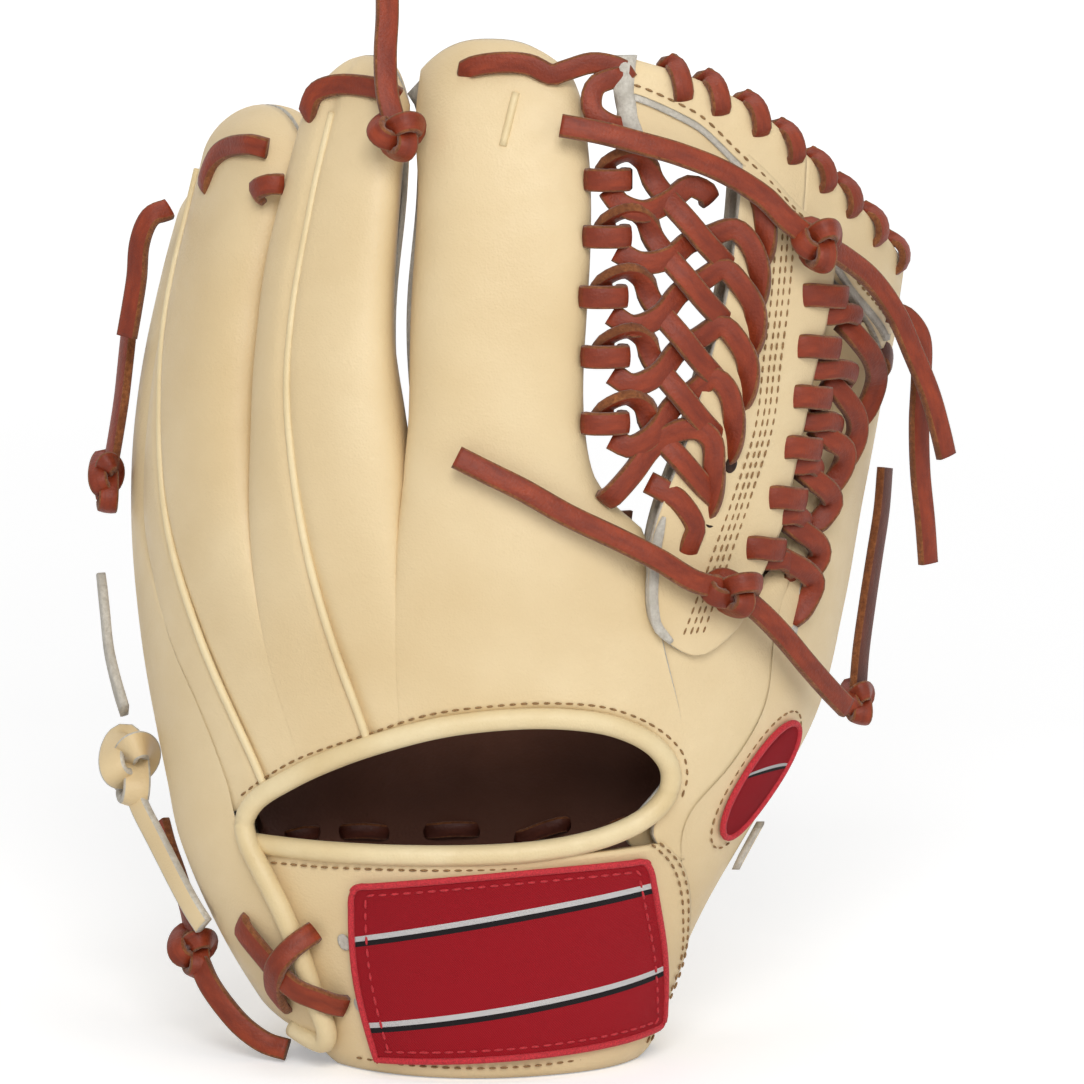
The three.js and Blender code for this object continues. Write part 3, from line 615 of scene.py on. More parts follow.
@dataclass(frozen=True)
class LaceCut:
    """The cross section of a flat lace: a crowned grain face, soft corners and raw sides."""

    width: float = 6.2
    thick: float = 2.6
    corner: float = 0.55
    crown: float = 0.25

    def section(self) -> tuple[np.ndarray, list[int]]:
        """The section's points (across, out) in order, and the finish slot of each side."""
        half, rise, c = self.width / 2, self.thick / 2, self.corner
        top = [(x * (half - c), rise + self.crown * (1 - x * x)) for x in (-1, -0.5, 0, 0.5, 1)]
        right = [(half - 0.3 * c, rise - 0.3 * c), (half, rise - c), (half, 0), (half, c - rise)]
        under = [(half - c, -rise), (0, -rise), (c - half, -rise)]
        left = [(-half, c - rise), (-half, 0), (-half, rise - c), (0.3 * c - half, rise - 0.3 * c)]
        ring = top + right + under + left
        slots = [0] * 4 + [1] * (len(ring) - 4)
        return np.array(ring), slots


NARROW_LACE = LaceCut(5.6, 2.2)


def heading(path: np.ndarray, closed: bool) -> np.ndarray:
    """The unit direction of a route at each of its points."""
    return unit(np.roll(path, -1, 0) - np.roll(path, 1, 0) if closed
                else np.gradient(path, axis=0))


def sweep(cloth: Cloth, rings: np.ndarray, length: float, side_slots: list[int], end_slot: int,
          closed: bool) -> None:
    """Adds the solid through a row of rings, with its UV round it and along it in metres.

    Args:
        cloth: What it is added to.
        rings: The rings' points, rings by sides by 3.
        length: Its length in millimetres.
        side_slots: The finish slot of each side.
        end_slot: The finish slot of its ends.
        closed: True where the last ring joins the first.
    """
    count, sides = rings.shape[:2]
    faces, slots = [], []
    for i in range(count if closed else count - 1):
        a, b = i * sides, ((i + 1) % count) * sides
        faces += [[a + k, a + (k + 1) % sides, b + (k + 1) % sides, b + k] for k in range(sides)]
        slots += side_slots
    if not closed:
        faces += [list(range(sides))[::-1], [(count - 1) * sides + k for k in range(sides)]]
        slots += [end_slot] * 2
    u = np.tile(np.linspace(0, 1, sides), (count, 1))
    v = np.tile((np.linspace(0, 1, count) * length * MM)[:, None], (1, sides))
    cloth.add(rings.reshape(-1, 3), faces, slots, np.stack([u, v], -1).reshape(-1, 2))


def lace(cloth: Cloth, stops: np.ndarray, facing: np.ndarray, cut: LaceCut = LaceCut(),
         step: float = 1.6, pinch: tuple[float, float] = (1.0, 1.0), closed: bool = False) -> None:
    """Adds a flat lace along a smooth route.

    Args:
        cloth: What it is added to.
        stops: Its places in pattern millimetres.
        facing: The way its grain face looks at each stop.
        cut: Its cross section.
        step: Millimetres between rings.
        pinch: Share of the width left at its first and last end.
        closed: True for a route that ends where it starts, which gets no end caps.
    """
    stops = np.asarray(stops, float)
    length = np.linalg.norm(np.diff(stops, axis=0), axis=1).sum()
    count = max(6, int(length / step))
    route = smooth_route(np.concatenate([stops, unit(np.asarray(facing, float))], 1), count)
    if closed:
        route, count = route[:-1], count - 1
    path, face = route[:, :3], route[:, 3:]
    tangent = heading(path, closed)
    across = unit(np.cross(tangent, face))
    out = unit(np.cross(across, tangent))
    ring, ring_slots = cut.section()
    share = np.linspace(0, 1, count)
    narrow = 1 - (1 - pinch[0]) * np.clip(1 - share * 6, 0, 1) ** 2 \
        - (1 - pinch[1]) * np.clip(share * 6 - 5, 0, 1) ** 2
    points = (path[:, None] + across[:, None] * (ring[None, :, :1] * narrow[:, None, None])
              + out[:, None] * ring[None, :, 1:])
    sweep(cloth, points, length, ring_slots, 1, closed)


def cord_tube(cloth: Cloth, stops: np.ndarray, radius: float, sides: int = 14, step: float = 1.6,
              closed: bool = False) -> None:
    """Adds a round roll of leather or thread along a smooth route.

    Args:
        cloth: What it is added to.
        stops: Its places in pattern millimetres.
        radius: Its radius in millimetres.
        sides: Sides of its section.
        step: Millimetres between rings.
        closed: True for a ring.
    """
    stops = np.asarray(stops, float)
    if closed:
        stops = np.concatenate([stops, stops[:1]])
    length = np.linalg.norm(np.diff(stops, axis=0), axis=1).sum()
    count = max(6, int(length / step))
    path = smooth_route(stops, count)
    if closed:
        path, count = path[:-1], count - 1
    tangent = heading(path, closed)
    across = unit(np.cross(tangent, np.array([0.31, 0.27, 0.91])))
    out = np.cross(across, tangent)
    turn = np.linspace(0, 2 * math.pi, sides, endpoint=False)
    points = (path[:, None] + radius * (across[:, None] * np.cos(turn)[None, :, None]
                                        + out[:, None] * np.sin(turn)[None, :, None]))
    sweep(cloth, points, length, [0] * sides, 0, closed)


def on_back(places: Sequence[tuple[float, ...]]) -> tuple[np.ndarray, np.ndarray]:
    """Stops of a lace on the back surface.

    Args:
        places: (angle, height, lift off the surface, and optionally degrees that the grain face
            is turned about the lace's own line).

    Returns:
        The points and the way the grain face looks at each.
    """
    table = np.array([[*p, 0.0][:4] for p in places], float)
    points = FORM.back(table[:, 0], table[:, 1], -table[:, 2])
    out = FORM.outward(table[:, 0], table[:, 1])
    tangent = unit(np.gradient(points, axis=0))
    turn = np.radians(table[:, 3])[:, None]
    return points, out * np.cos(turn) + np.cross(tangent, out) * np.sin(turn)


# ------------------------------------------------------------------------------------- stitching
class StitchRow:
    """Stitches along a line, made by one Geometry Nodes tree for the whole glove."""

    _tree: bpy.types.GeometryNodeTree | None = None

    @classmethod
    def tree(cls) -> bpy.types.GeometryNodeTree:
        """The tree: a line in, one small spindle of thread every spacing out."""
        if cls._tree:
            return cls._tree
        group = bpy.data.node_groups.new("Stitches", "GeometryNodeTree")
        face = group.interface
        face.new_socket("Geometry", in_out="INPUT", socket_type="NodeSocketGeometry")
        for label in ("Spacing", "Stitch Length", "Thread Thickness"):
            face.new_socket(label, in_out="INPUT", socket_type="NodeSocketFloat")
        face.new_socket("Thread", in_out="INPUT", socket_type="NodeSocketMaterial")
        face.new_socket("Geometry", in_out="OUTPUT", socket_type="NodeSocketGeometry")

        def node(kind: str, **settings: object) -> bpy.types.Node:
            """Adds a geometry node."""
            made = group.nodes.new(kind)
            for key, value in settings.items():
                setattr(made, key, value)
            return made

        start, end = node("NodeGroupInput"), node("NodeGroupOutput")
        curve = node("GeometryNodeMeshToCurve")
        dots = node("GeometryNodeCurveToPoints", mode="LENGTH")
        spindle = node("GeometryNodeMeshUVSphere")
        spindle.inputs["Segments"].default_value = 8
        spindle.inputs["Rings"].default_value = 5
        spindle.inputs["Radius"].default_value = 0.5
        size = node("ShaderNodeCombineXYZ")
        wobble = node("FunctionNodeRandomValue", data_type="FLOAT")
        for label, value in (("Min", 0.86), ("Max", 1.1), ("Seed", 11)):
            [i for i in wobble.inputs if i.enabled and i.name == label][0].default_value = value
        vary = node("ShaderNodeMath", operation="MULTIPLY")
        lay = node("GeometryNodeInstanceOnPoints")
        real = node("GeometryNodeRealizeInstances")
        soft = node("GeometryNodeSetShadeSmooth")
        dress = node("GeometryNodeSetMaterial")
        wires = (
            (start, "Geometry", curve, "Mesh"), (curve, "Curve", dots, "Curve"),
            (start, "Spacing", dots, "Length"), (start, "Thread Thickness", size, 0),
            (start, "Thread Thickness", size, 1), (start, "Stitch Length", vary, 0),
            (vary, 0, size, 2), (dots, "Points", lay, "Points"),
            (dots, "Rotation", lay, "Rotation"), (spindle, "Mesh", lay, "Instance"),
            (size, 0, lay, "Scale"), (lay, "Instances", real, "Geometry"),
            (real, "Geometry", soft, "Geometry"), (soft, "Geometry", dress, "Geometry"),
            (start, "Thread", dress, "Material"), (dress, "Geometry", end, "Geometry"))
        for source, leaving, target, entering in wires:
            group.links.new(source.outputs[leaving], target.inputs[entering])
        group.links.new([o for o in wobble.outputs if o.enabled][0], vary.inputs[1])
        cls._tree = group
        return group

    @classmethod
    def sew(cls, name: str, lines: Sequence[np.ndarray], slot: str, spacing: float = 3.0,
            length: float = 2.1, thick: float = 0.7,
            thread: Finish = Finish.THREAD) -> bpy.types.Object:
        """Sews rows of stitches.

        Args:
            name: The piece's name.
            lines: The rows, each an array of points in pattern millimetres.
            slot: Not used.
            spacing: Millimetres from one stitch to the next.
            length: Millimetres of thread that shows in each.
            thick: The thread's thickness.
            thread: The thread's finish.

        Returns:
            One plain mesh of all the stitches.
        """
        points, edges, count = [], [], 0
        for line in lines:
            run = np.linalg.norm(np.diff(line, axis=0), axis=1).sum()
            route = to_frame(smooth_route(line, max(8, int(run / 1.5))))
            points.append(route)
            edges += [[count + i, count + i + 1] for i in range(len(route) - 1)]
            count += len(route)
        guide = bpy.data.meshes.new(name + "_line")
        guide.from_pydata(np.concatenate(points).tolist(), edges, [])
        obj = bpy.data.objects.new(name, guide)
        bpy.context.scene.collection.objects.link(obj)
        tree = cls.tree()
        modifier = obj.modifiers.new("Stitches", "NODES")
        modifier.node_group = tree
        values = {"Spacing": spacing * MM, "Stitch Length": length * MM,
                  "Thread Thickness": thick * MM, "Thread": thread.material}
        for item in tree.interface.items_tree:
            if item.in_out == "INPUT" and item.name in values:
                modifier[item.identifier] = values[item.name]
        bpy.context.view_layer.update()
        graph = bpy.context.evaluated_depsgraph_get()
        sewn = bpy.data.meshes.new_from_object(obj.evaluated_get(graph))
        obj.modifiers.clear()
        obj.data = sewn
        bpy.data.meshes.remove(guide)
        LOG.info("%s: %d faces", name, len(sewn.polygons))
        return obj


# ---------------------------------------------------------------------------------------- shell
@dataclass(frozen=True)
class Stall:
    """A finger's back leather: a panel of the back that closes round the finger further up."""

    name: str
    left: Stations
    right: Stations
    bottom: Stations
    tip: float
    nodes: tuple[str, ...]
    crease_left: Stations = ((100, 0.02), (120, 0.06), (150, 0.2), (178, 0.45), (200, 0.5))
    crease_right: Stations = ((100, 0.02), (120, 0.06), (150, 0.2), (178, 0.45), (200, 0.5))
    wrap_left: Stations = ((142, 90), (162, 180))
    wrap_right: Stations = ((142, 90), (162, 180))
    gap_left: Stations = ((100, 0.0), (200, 0.3))
    gap_right: Stations = ((100, 0.0), (200, 0.3))
    shear_left: Stations = ((0, 0.0), (284, 0.0))
    shear_right: Stations = ((0, 0.0), (284, 0.0))
    lift: Stations = ((100, 0.0), (284, 0.0))
    seam: Stations = ()
    drop: float = 13.0
    rounding: float = 12.0
    squareness: float = 0.66
    plumpness: float = 1.4
    columns: int = 112
    rows: int = 96

    def _turns(self, t: np.ndarray, height: np.ndarray) -> np.ndarray:
        """Evenly spaced places round the section, as turns of its squared circle."""
        fine = np.linspace(0, math.pi, 1200)
        ring = np.stack([np.abs(np.sin(fine)) ** self.squareness,
                         np.sign(np.cos(fine)) * np.abs(np.cos(fine)) ** self.squareness * 0.7])
        run = np.concatenate([[0], np.cumsum(np.linalg.norm(np.diff(ring, axis=1), axis=0))])
        wrap = np.where(t < 0, along(self.wrap_left, height), along(self.wrap_right, height))
        reach = np.interp(np.radians(wrap), fine, run)
        return np.sign(t) * np.interp(np.abs(t) * reach, run, fine)

    def skin(self, inset: float) -> np.ndarray:
        """The grid of points of the leather's outer face, or of one inset behind it."""
        t, w = np.meshgrid(np.linspace(-1, 1, self.columns), np.linspace(0, 1, self.rows))
        v = 1 - (1 - w) ** 1.5
        height = np.full_like(t, 100.0)
        for _ in range(SETTLE):
            turn = self._turns(t, height)
            across = np.sign(turn) * np.abs(np.sin(turn)) ** self.squareness
            u = 0.5 + 0.5 * across
            low = along(self.left, height) * (1 - u) + along(self.right, height) * u
            foot = along(self.bottom, low)
            top = self.tip - inset - self.drop * np.abs(across) ** 2.6
            height = foot + (top - foot) * v
        cosine = np.sign(np.cos(turn)) * np.abs(np.cos(turn)) ** self.squareness
        crease = np.where(t < 0, along(self.crease_left, height),
                          along(self.crease_right, height))
        share = np.where(cosine >= 0, crease * (1 - cosine), crease - (1 - crease) * cosine)
        thick = along(FORM.palm_depth, height)
        share = share * (1 - 2 * inset / thick) + inset / thick
        plump = self.plumpness * ramp(110, 175, height) * np.clip(cosine, 0, 1) ** 2
        if self.seam:
            place = along([(z, a) for z, a in self.seam], height)
            spot = along(self.left, height) * (1 - u) + along(self.right, height) * u
            off = (spot - place) / FORM.degrees(2.4, height)
            plump = plump - 1.1 * np.exp(-off * off) * (cosine > 0)
        closing = np.sqrt(np.clip(1 - (1 - np.clip((top - height) / self.rounding, 0, 1)) ** 2,
                                  0, 1))
        share = 0.5 + (share - 0.5) * (1 - (1 - closing) * ramp(150, 180, height))
        left = along(self.left, height) + FORM.degrees(along(self.gap_left, height) + inset,
                                                       height)
        right = along(self.right, height) - FORM.degrees(along(self.gap_right, height) + inset,
                                                         height)
        left = left + along(self.shear_left, height) * share
        right = right + along(self.shear_right, height) * share
        angle = left * (1 - u) + right * u
        rise = plump + along(self.lift, height)
        return (FORM.between(angle, height, share)
                + FORM.outward(angle, height) * rise[..., None])

    def make(self) -> bpy.types.Object:
        """Builds the piece."""
        cloth = Cloth()
        slab(cloth, self.skin(0.0), self.skin(LEATHER))
        piece = cloth.piece(self.name, (Finish.SHELL, Finish.LINING, Finish.SUEDE),
                            "shell_leather")
        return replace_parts(piece, *self.nodes)


@dataclass(frozen=True)
class Shell:
    """The back of the glove: four fingers, the thumb and the crotch between them."""

    welt_radius: float = 1.15
    middle_seam: Stations = ((90, -18.6), (100, -20.5), (133, -27), (170, -33), (200, -37),
                             (240, -39), (270, -38.5))
    ring_seam: Stations = ((76, -40), (80, -40.8), (89, -43.4), (117, -52), (148, -61.3),
                           (180, -67.8), (207, -74), (245, -77.5))

    def stalls(self) -> list[tuple[Stall, Body]]:
        """The stalls in order from the index finger, each with the body it rides on."""
        free = ((95, 0.0), (128, 0.0), (150, 0.24), (166, 0.5))
        gap = ((95, 0.0), (168, 0.0), (182, 1.2), (205, 2.8), (242, 3.0), (262, 1.2), (284, 1.0))
        tucked_gap = ((95, -1.0), (150, -0.6), (168, 0.0), *gap[2:])
        cleft = ((95, 0.0), (128, 0.03), (150, 0.14), (176, 0.42), (186, 0.5))
        tucked_cleft = ((95, 0.012), (128, 0.04), (150, 0.15), (176, 0.42), (186, 0.5))
        over = ((100, 0.0), (118, 0.01), (135, 0.08), (155, 0.22), (178, 0.44), (200, 0.5))
        under = ((100, 0.012), (118, 0.02), (135, 0.09), (155, 0.23), (178, 0.44), (200, 0.5))
        tucked = ((95, -1.0), (140, -0.7), (165, 0.0), (200, 0.3))
        outer = ((0, 150), (284, 168))
        half = ((0, 0.5), (284, 0.5))
        lean = ((165, 0.0), (207, -7.0), (284, -8.0))
        return [
            (Stall("index_skin", INDEX_MIDDLE, INDEX_WEB, OPENING_EDGE, 283.5, ("index_back",),
                   crease_left=cleft, crease_right=free, gap_left=gap, drop=9.0,
                   shear_left=lean, shear_right=((150, 0.0), (170, -7.0), (284, -8.0)),
                   squareness=0.6), Body.FINGERS),
            (Stall("middle_skin", MIDDLE_RING, INDEX_MIDDLE, OPENING_EDGE, 278.0,
                   ("middle_back",), crease_left=over, crease_right=tucked_cleft,
                   gap_right=tucked_gap, shear_right=lean, seam=self.middle_seam),
             Body.FINGERS),
            (Stall("ring_skin", RING_PINKY, MIDDLE_RING, OPENING_EDGE, 262.0, ("ring_back",),
                   crease_left=under, crease_right=under, gap_left=tucked, gap_right=tucked,
                   seam=self.ring_seam), Body.FINGERS),
            (Stall("pinky_skin", PINKY_OUTER, RING_PINKY,
                   ((-99, 24), (-90, 20), (-75, 15), (-60, 11), (-44, 9)), 240.0,
                   ("pinky_back", "pinky_heel_flap"), crease_left=half,
                   crease_right=((11, 0.0), (70, 0.0), *over),
                   wrap_left=outer, wrap_right=((0, 90), (142, 90), (162, 180)),
                   gap_right=((0, 0.0), (70, -1.0), (110, -0.6), (150, 0.0), (200, 0.3)),
                   lift=((0, 2.3), (58, 2.2), (74, 0.7), (96, 0.25), (120, 0.0)),
                   rows=120), Body.FINGERS),
            (Stall("thumb_skin", THUMB_SEAM, THUMB_OUTER, ((60, 3), (95, 3)), 213.5,
                   ("thumb_back",), crease_left=((4, 0.0), (126, 0.0), (150, 0.2), (172, 0.5)),
                   crease_right=half, wrap_left=((0, 90), (142, 90), (166, 180)),
                   wrap_right=outer, drop=16.0,
                   lift=((0, -1.8), (40, -1.6), (62, -0.4), (78, 0.0))), Body.THUMB),
        ]

    def crotch(self) -> bpy.types.Object:
        """The leather between the index finger and the thumb, below the web."""
        cloth = Cloth()
        u, v = share_grid(40, 44)
        top = ((22, 150), (27, 142), (34, 134), (42, 130), (50, 137), (60, 148))
        left = ((58, 46), (63, 41), (67, 37.5), (72, 36.4), (78, 37.2), (97, 33), (125, 26),
                (150, 23))
        height = np.full_like(u, 100.0)
        for _ in range(SETTLE):
            angle = along(left, height) * (1 - u) + (along(THUMB_SEAM, height) + 1.0) * u
            height = 58.5 + (along(top, angle) - 58.5) * v
        edge = np.abs(2 * u - 1) ** 20 * 0.3
        roll = 3.0 * np.clip(v * 12 - 11, 0, 1) ** 2
        slab(cloth, FORM.back(angle, height, roll + edge),
             FORM.back(angle, height, LEATHER + 0.2 * roll + edge))
        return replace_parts(cloth.piece("crotch_skin", (Finish.SHELL, Finish.LINING,
                                                       Finish.SUEDE), "shell_leather"),
                           "thumb_crotch_back")

    def welts(self) -> bpy.types.Object:
        """The rolled welts up the middle, ring and index fingers."""
        cloth = Cloth()
        for seam, low, high in ((self.middle_seam, 94.5, 263), (self.ring_seam, 80, 243)):
            heights = np.linspace(low, high, 40)
            cord_tube(cloth, FORM.back(along(seam, heights), heights, -0.25), self.welt_radius)
        heights = np.linspace(256, 270, 8)
        cord_tube(cloth, FORM.back(np.interp(heights, (256, 270), (-8.5, -7.6)), heights, -1.2),
                  self.welt_radius)
        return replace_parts(cloth.piece("finger_welts", (Finish.BINDING,), "welt_leather"),
                           "middle_welt", "ring_welt", "index_welt")

    def build(self) -> None:
        """Builds the back, and sets the finger stalls and the welts on the fingers' body."""
        for stall, body in self.stalls():
            piece = stall.make()
            if body is Body.THUMB:
                bend(piece, Body.POCKET, Body.THUMB, (53, 110), (66, 110))
            else:
                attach(piece, body.value)
        bend(self.crotch(), Body.FINGERS, Body.POCKET, (34, 105), (46, 105))
        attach(self.welts(), Body.FINGERS.value)


def bend(piece: bpy.types.Object, first: Body, second: Body, start: tuple[float, float],
         end: tuple[float, float]) -> bpy.types.Object:
    """Bakes a piece's placement into its mesh and returns it."""
    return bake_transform(piece, first.value, second.value, start=to_frame(FORM.back(*start)).tolist(),
                    end=to_frame(FORM.back(*end)).tolist())


# ----------------------------------------------------------------------------------------- palm
@dataclass(frozen=True)
class Palm:
    """The palm leather, its pocket, and what lies inside the hand."""

    split: float = 172.0
    proud: float = 3.6
    pocket_top: Stations = ((12, 172), (18, 160), (24, 146), (30, 138), (40, 134), (50, 138),
                            (56, 150), (64, 171))
    thick: float = 2.8

    def _strip(self, cloth: Cloth, left: Stations, right: Stations, low: float, tip: float,
               wrap_left: bool = False, wrap_right: bool = False) -> None:
        """Adds one finger's strip of palm leather, from the heel to the fingertip."""
        u, v = share_grid(34, 84)
        top = tip - 12 * np.abs(2 * u - 1) ** 3
        height = low + (top - low) * v
        apart = ramp(self.split - 8, self.split + 14, height)
        gaps = [FORM.degrees(apart * (3.0 if side is INDEX_MIDDLE_PALM else 1.2), height)
                for side in (left, right)]
        angle = ((along(left, height) + gaps[0]) * (1 - u)
                 + (along(right, height) - gaps[1]) * u)
        free = ramp(self.split - 14, self.split + 14, height)
        edge = np.abs(2 * u - 1) ** 6 * free * 4.5
        crown = 1.2 * (1 - (2 * u - 1) ** 2) * free
        over = 7 * np.clip((height - top + 9) / 9, 0, 1) ** 2
        outer = FORM.palm(angle, height, self.proud + crown - edge - over)
        inner = FORM.palm(angle, height, self.proud - self.thick - edge - over)
        for wrapped, side in ((wrap_left, 1 - u), (wrap_right, u)):
            if wrapped:
                pull = np.clip(side * 9 - 8, 0, 1)[..., None] ** 2
                outer += (FORM.between(angle, height, np.full_like(u, 0.62)) - outer) * pull
                inner += (FORM.between(angle, height, np.full_like(u, 0.6)) - inner) * pull
        slab(cloth, outer, inner)

    def leather(self) -> bpy.types.Object:
        """The palm of the four fingers and the heel below them."""
        cloth = Cloth()
        for left, right, tip in ((PINKY_OUTER, RING_PINKY_PALM, 237.0),
                                 (RING_PINKY_PALM, MIDDLE_RING_PALM, 258.0),
                                 (MIDDLE_RING_PALM, INDEX_MIDDLE_PALM, 274.0),
                                 (INDEX_MIDDLE_PALM, INDEX_EDGE_PALM, 280.0)):
            self._strip(cloth, left, right, 0.3, tip, wrap_left=left is PINKY_OUTER)
        piece = cloth.piece("palm_leather", HIDE, "shell_leather")
        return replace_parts(piece, "palm_finger_side")

    def thumb_leather(self) -> bpy.types.Object:
        """The palm side of the thumb and its heel."""
        cloth = Cloth()
        left = ((0, 78), (30, 75), (65, 72), (95, 57), (125, 51), (150, 54), (172, 62),
                (187, 70), (214, 80))
        self._strip(cloth, left, THUMB_OUTER, 0.3, 210.0, wrap_right=True)
        piece = cloth.piece("palm_thumb_leather", HIDE, "shell_leather")
        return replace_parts(piece, "palm_thumb_side")

    def pocket(self, name: str, left: Stations, right: Stations) -> bpy.types.Object:
        """Half of the pocket's leather, between one fold and the middle."""
        cloth = Cloth()
        u, v = share_grid(26, 60)
        height = np.full_like(u, 100.0)
        for _ in range(SETTLE):
            angle = along(left, height) * (1 - u) + along(right, height) * u
            height = 30 + (along(self.pocket_top, angle) - 30) * v
        slab(cloth, FORM.palm(angle, height, self.proud - 0.15),
             FORM.palm(angle, height, self.proud - self.thick))
        return cloth.piece(name, HIDE, "shell_leather")

    def inside(self) -> None:
        """The lining that the hand lies on, its heel stitches and the felt pads below it."""
        cloth = Cloth()
        u, v = share_grid(70, 50)
        height = 2 + 152 * v
        angle = (along(((0, -78), (60, -80), (150, -88)), height) * (1 - u)
                 + along(((0, 74), (30, 72), (65, 60), (95, 48), (125, 38), (146, 26)), height) * u)
        sag = 0.8 * np.sin(angle * 0.21) * np.sin(height * 0.06)
        slab(cloth, FORM.palm(angle, height, -9.3 + sag), FORM.palm(angle, height, -7.4 + sag))
        lining = cloth.piece("palm_lining_leather", (Finish.LINING,) * 3, "lining_leather")
        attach(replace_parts(lining, "palm_lining"), Body.FINGERS.value)
        cloth = Cloth()
        for angle, slant in ((-50, 0.2), (-28, -0.3), (-4, 0.2), (20, 2.2), (40, 3.0)):
            places = ((angle - 7, 57 - slant, 8.4), (angle - 5, 57.4 - slant, 10.2),
                      (angle, 57.8, 10.8), (angle + 5, 57.4 + slant, 10.2),
                      (angle + 7, 57 + slant, 8.4))
            table = np.array(places)
            stops = FORM.palm(table[:, 0], table[:, 1], -table[:, 2])
            inward = FORM.palm(table[:, 0], table[:, 1], -1.0) - FORM.palm(table[:, 0],
                                                                          table[:, 1])
            lace(cloth, stops, inward, LaceCut(4.6, 1.4))
        # The heel stitches take the lace hide with painted shade.
        stitches = cloth.piece("heel_lacing", (Finish.LACE_PAINTED_SHADE, Finish.LACE_EDGE),
                               "lace_leather")
        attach(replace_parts(stitches, "heel_lace"), Body.FINGERS.value)
        for name, left, right in (("pinky_heel_pad", -75.0, -12.0), ("thumb_heel_pad", 1.0, 0.0)):
            self._pad(name, left, right)

    def _pad(self, name: str, left: float, right: float) -> None:
        """One felt pad of the heel, crowned, with soft edges."""
        cloth = Cloth()
        u, v = share_grid(36, 36)
        height = 4 + 73 * v
        edge = along(((0, 62), (40, 58), (65, 38), (80, 34)), height) if not right else right
        angle = left * (1 - u) + edge * u
        rim = 1 - np.maximum(np.abs(2 * u - 1), np.abs(2 * v - 1)) ** 8
        slab(cloth, FORM.palm(angle, height, -3 - 3 * rim), FORM.palm(angle, height,
                                                                     -3 + 3.2 * rim))
        pad = cloth.piece(name + "_felt", (Finish.FELT,) * 3, "heel_felt")
        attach(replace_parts(pad, name), Body.FINGERS.value)

    def stall_linings(self) -> None:
        """The linings of the stalls' palm sides, seen through the hand opening."""
        for name, left, right, tip, body in (
                ("index", INDEX_MIDDLE_PALM, INDEX_EDGE_PALM, 272, Body.FINGERS),
                ("middle", MIDDLE_RING, INDEX_MIDDLE_PALM, 266, Body.FINGERS),
                ("ring", RING_PINKY, MIDDLE_RING, 250, Body.FINGERS),
                ("pinky", PINKY_OUTER, RING_PINKY, 228, Body.FINGERS),
                ("thumb", THUMB_SEAM, THUMB_OUTER, 203, Body.THUMB)):
            cloth = Cloth()
            u, v = share_grid(16, 30)
            height = 152 + (tip - 152) * v
            inset = FORM.degrees(9.0, height)
            angle = ((along(left, height) + inset) * (1 - u)
                     + (along(right, height) - inset) * u)
            bow = 3.0 * (2 * u - 1) ** 2
            slab(cloth, FORM.palm(angle, height, -5.2 - bow), FORM.palm(angle, height,
                                                                       -3.4 - bow))
            piece = cloth.piece(name + "_stall_lining", (Finish.LINING,) * 3, "lining_leather")
            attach(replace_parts(piece, name + "_lining"), body.value)

    def build(self) -> None:
        """Builds the palm side and the inside."""
        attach(self.leather(), Body.FINGERS.value)
        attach(self.thumb_leather(), Body.THUMB.value)
        middle = ((30, 76.5), (50, 72), (65, 62), (95, 47), (125, 41), (150, 40), (172, 40))
        first = self.pocket("pocket_index_half", ((30, 72), (65, 45.5), (95, 32.5), (125, 28.5),
                                                  (150, 25), (160, 19.5), (176, 15)), middle)
        second = self.pocket("pocket_thumb_half", middle,
                             ((30, 76), (65, 73), (95, 58.5), (125, 52.5), (150, 55.5),
                              (172, 63)))
        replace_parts(first, "palm_pocket")
        palm_bend(first, Body.FINGERS, Body.POCKET, (32, 120), (40, 120))
        palm_bend(second, Body.POCKET, Body.THUMB, (43, 120), (51, 120))
        self.inside()
        self.stall_linings()


RING_PINKY_PALM = ((0, -60), (80, -62), (111, -64), (130, -69), (148, -77), (200, -82),
                   (260, -84))
MIDDLE_RING_PALM = ((0, -30), (90, -33), (142, -41), (174, -45), (201, -48), (230, -50),
                    (275, -48))
INDEX_EDGE_PALM = ((0, 76), (30, 73), (65, 47), (95, 34), (125, 29.5), (148, 25), (160, 16),
                   (176, 9.5), (200, 6), (227, 4), (254, 2), (283, -3))
INDEX_MIDDLE_PALM = ((0, -8), (95, -13), (145, -15.5), (175, -20), (207, -26), (241, -29),
                     (262, -31), (283, -32))


def palm_bend(piece: bpy.types.Object, first: Body, second: Body, start: tuple[float, float],
              end: tuple[float, float]) -> bpy.types.Object:
    """Bakes a palm piece's placement into its mesh and returns it."""
    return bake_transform(piece, first.value, second.value, start=to_frame(FORM.palm(*start)).tolist(),
                    end=to_frame(FORM.palm(*end)).tolist())


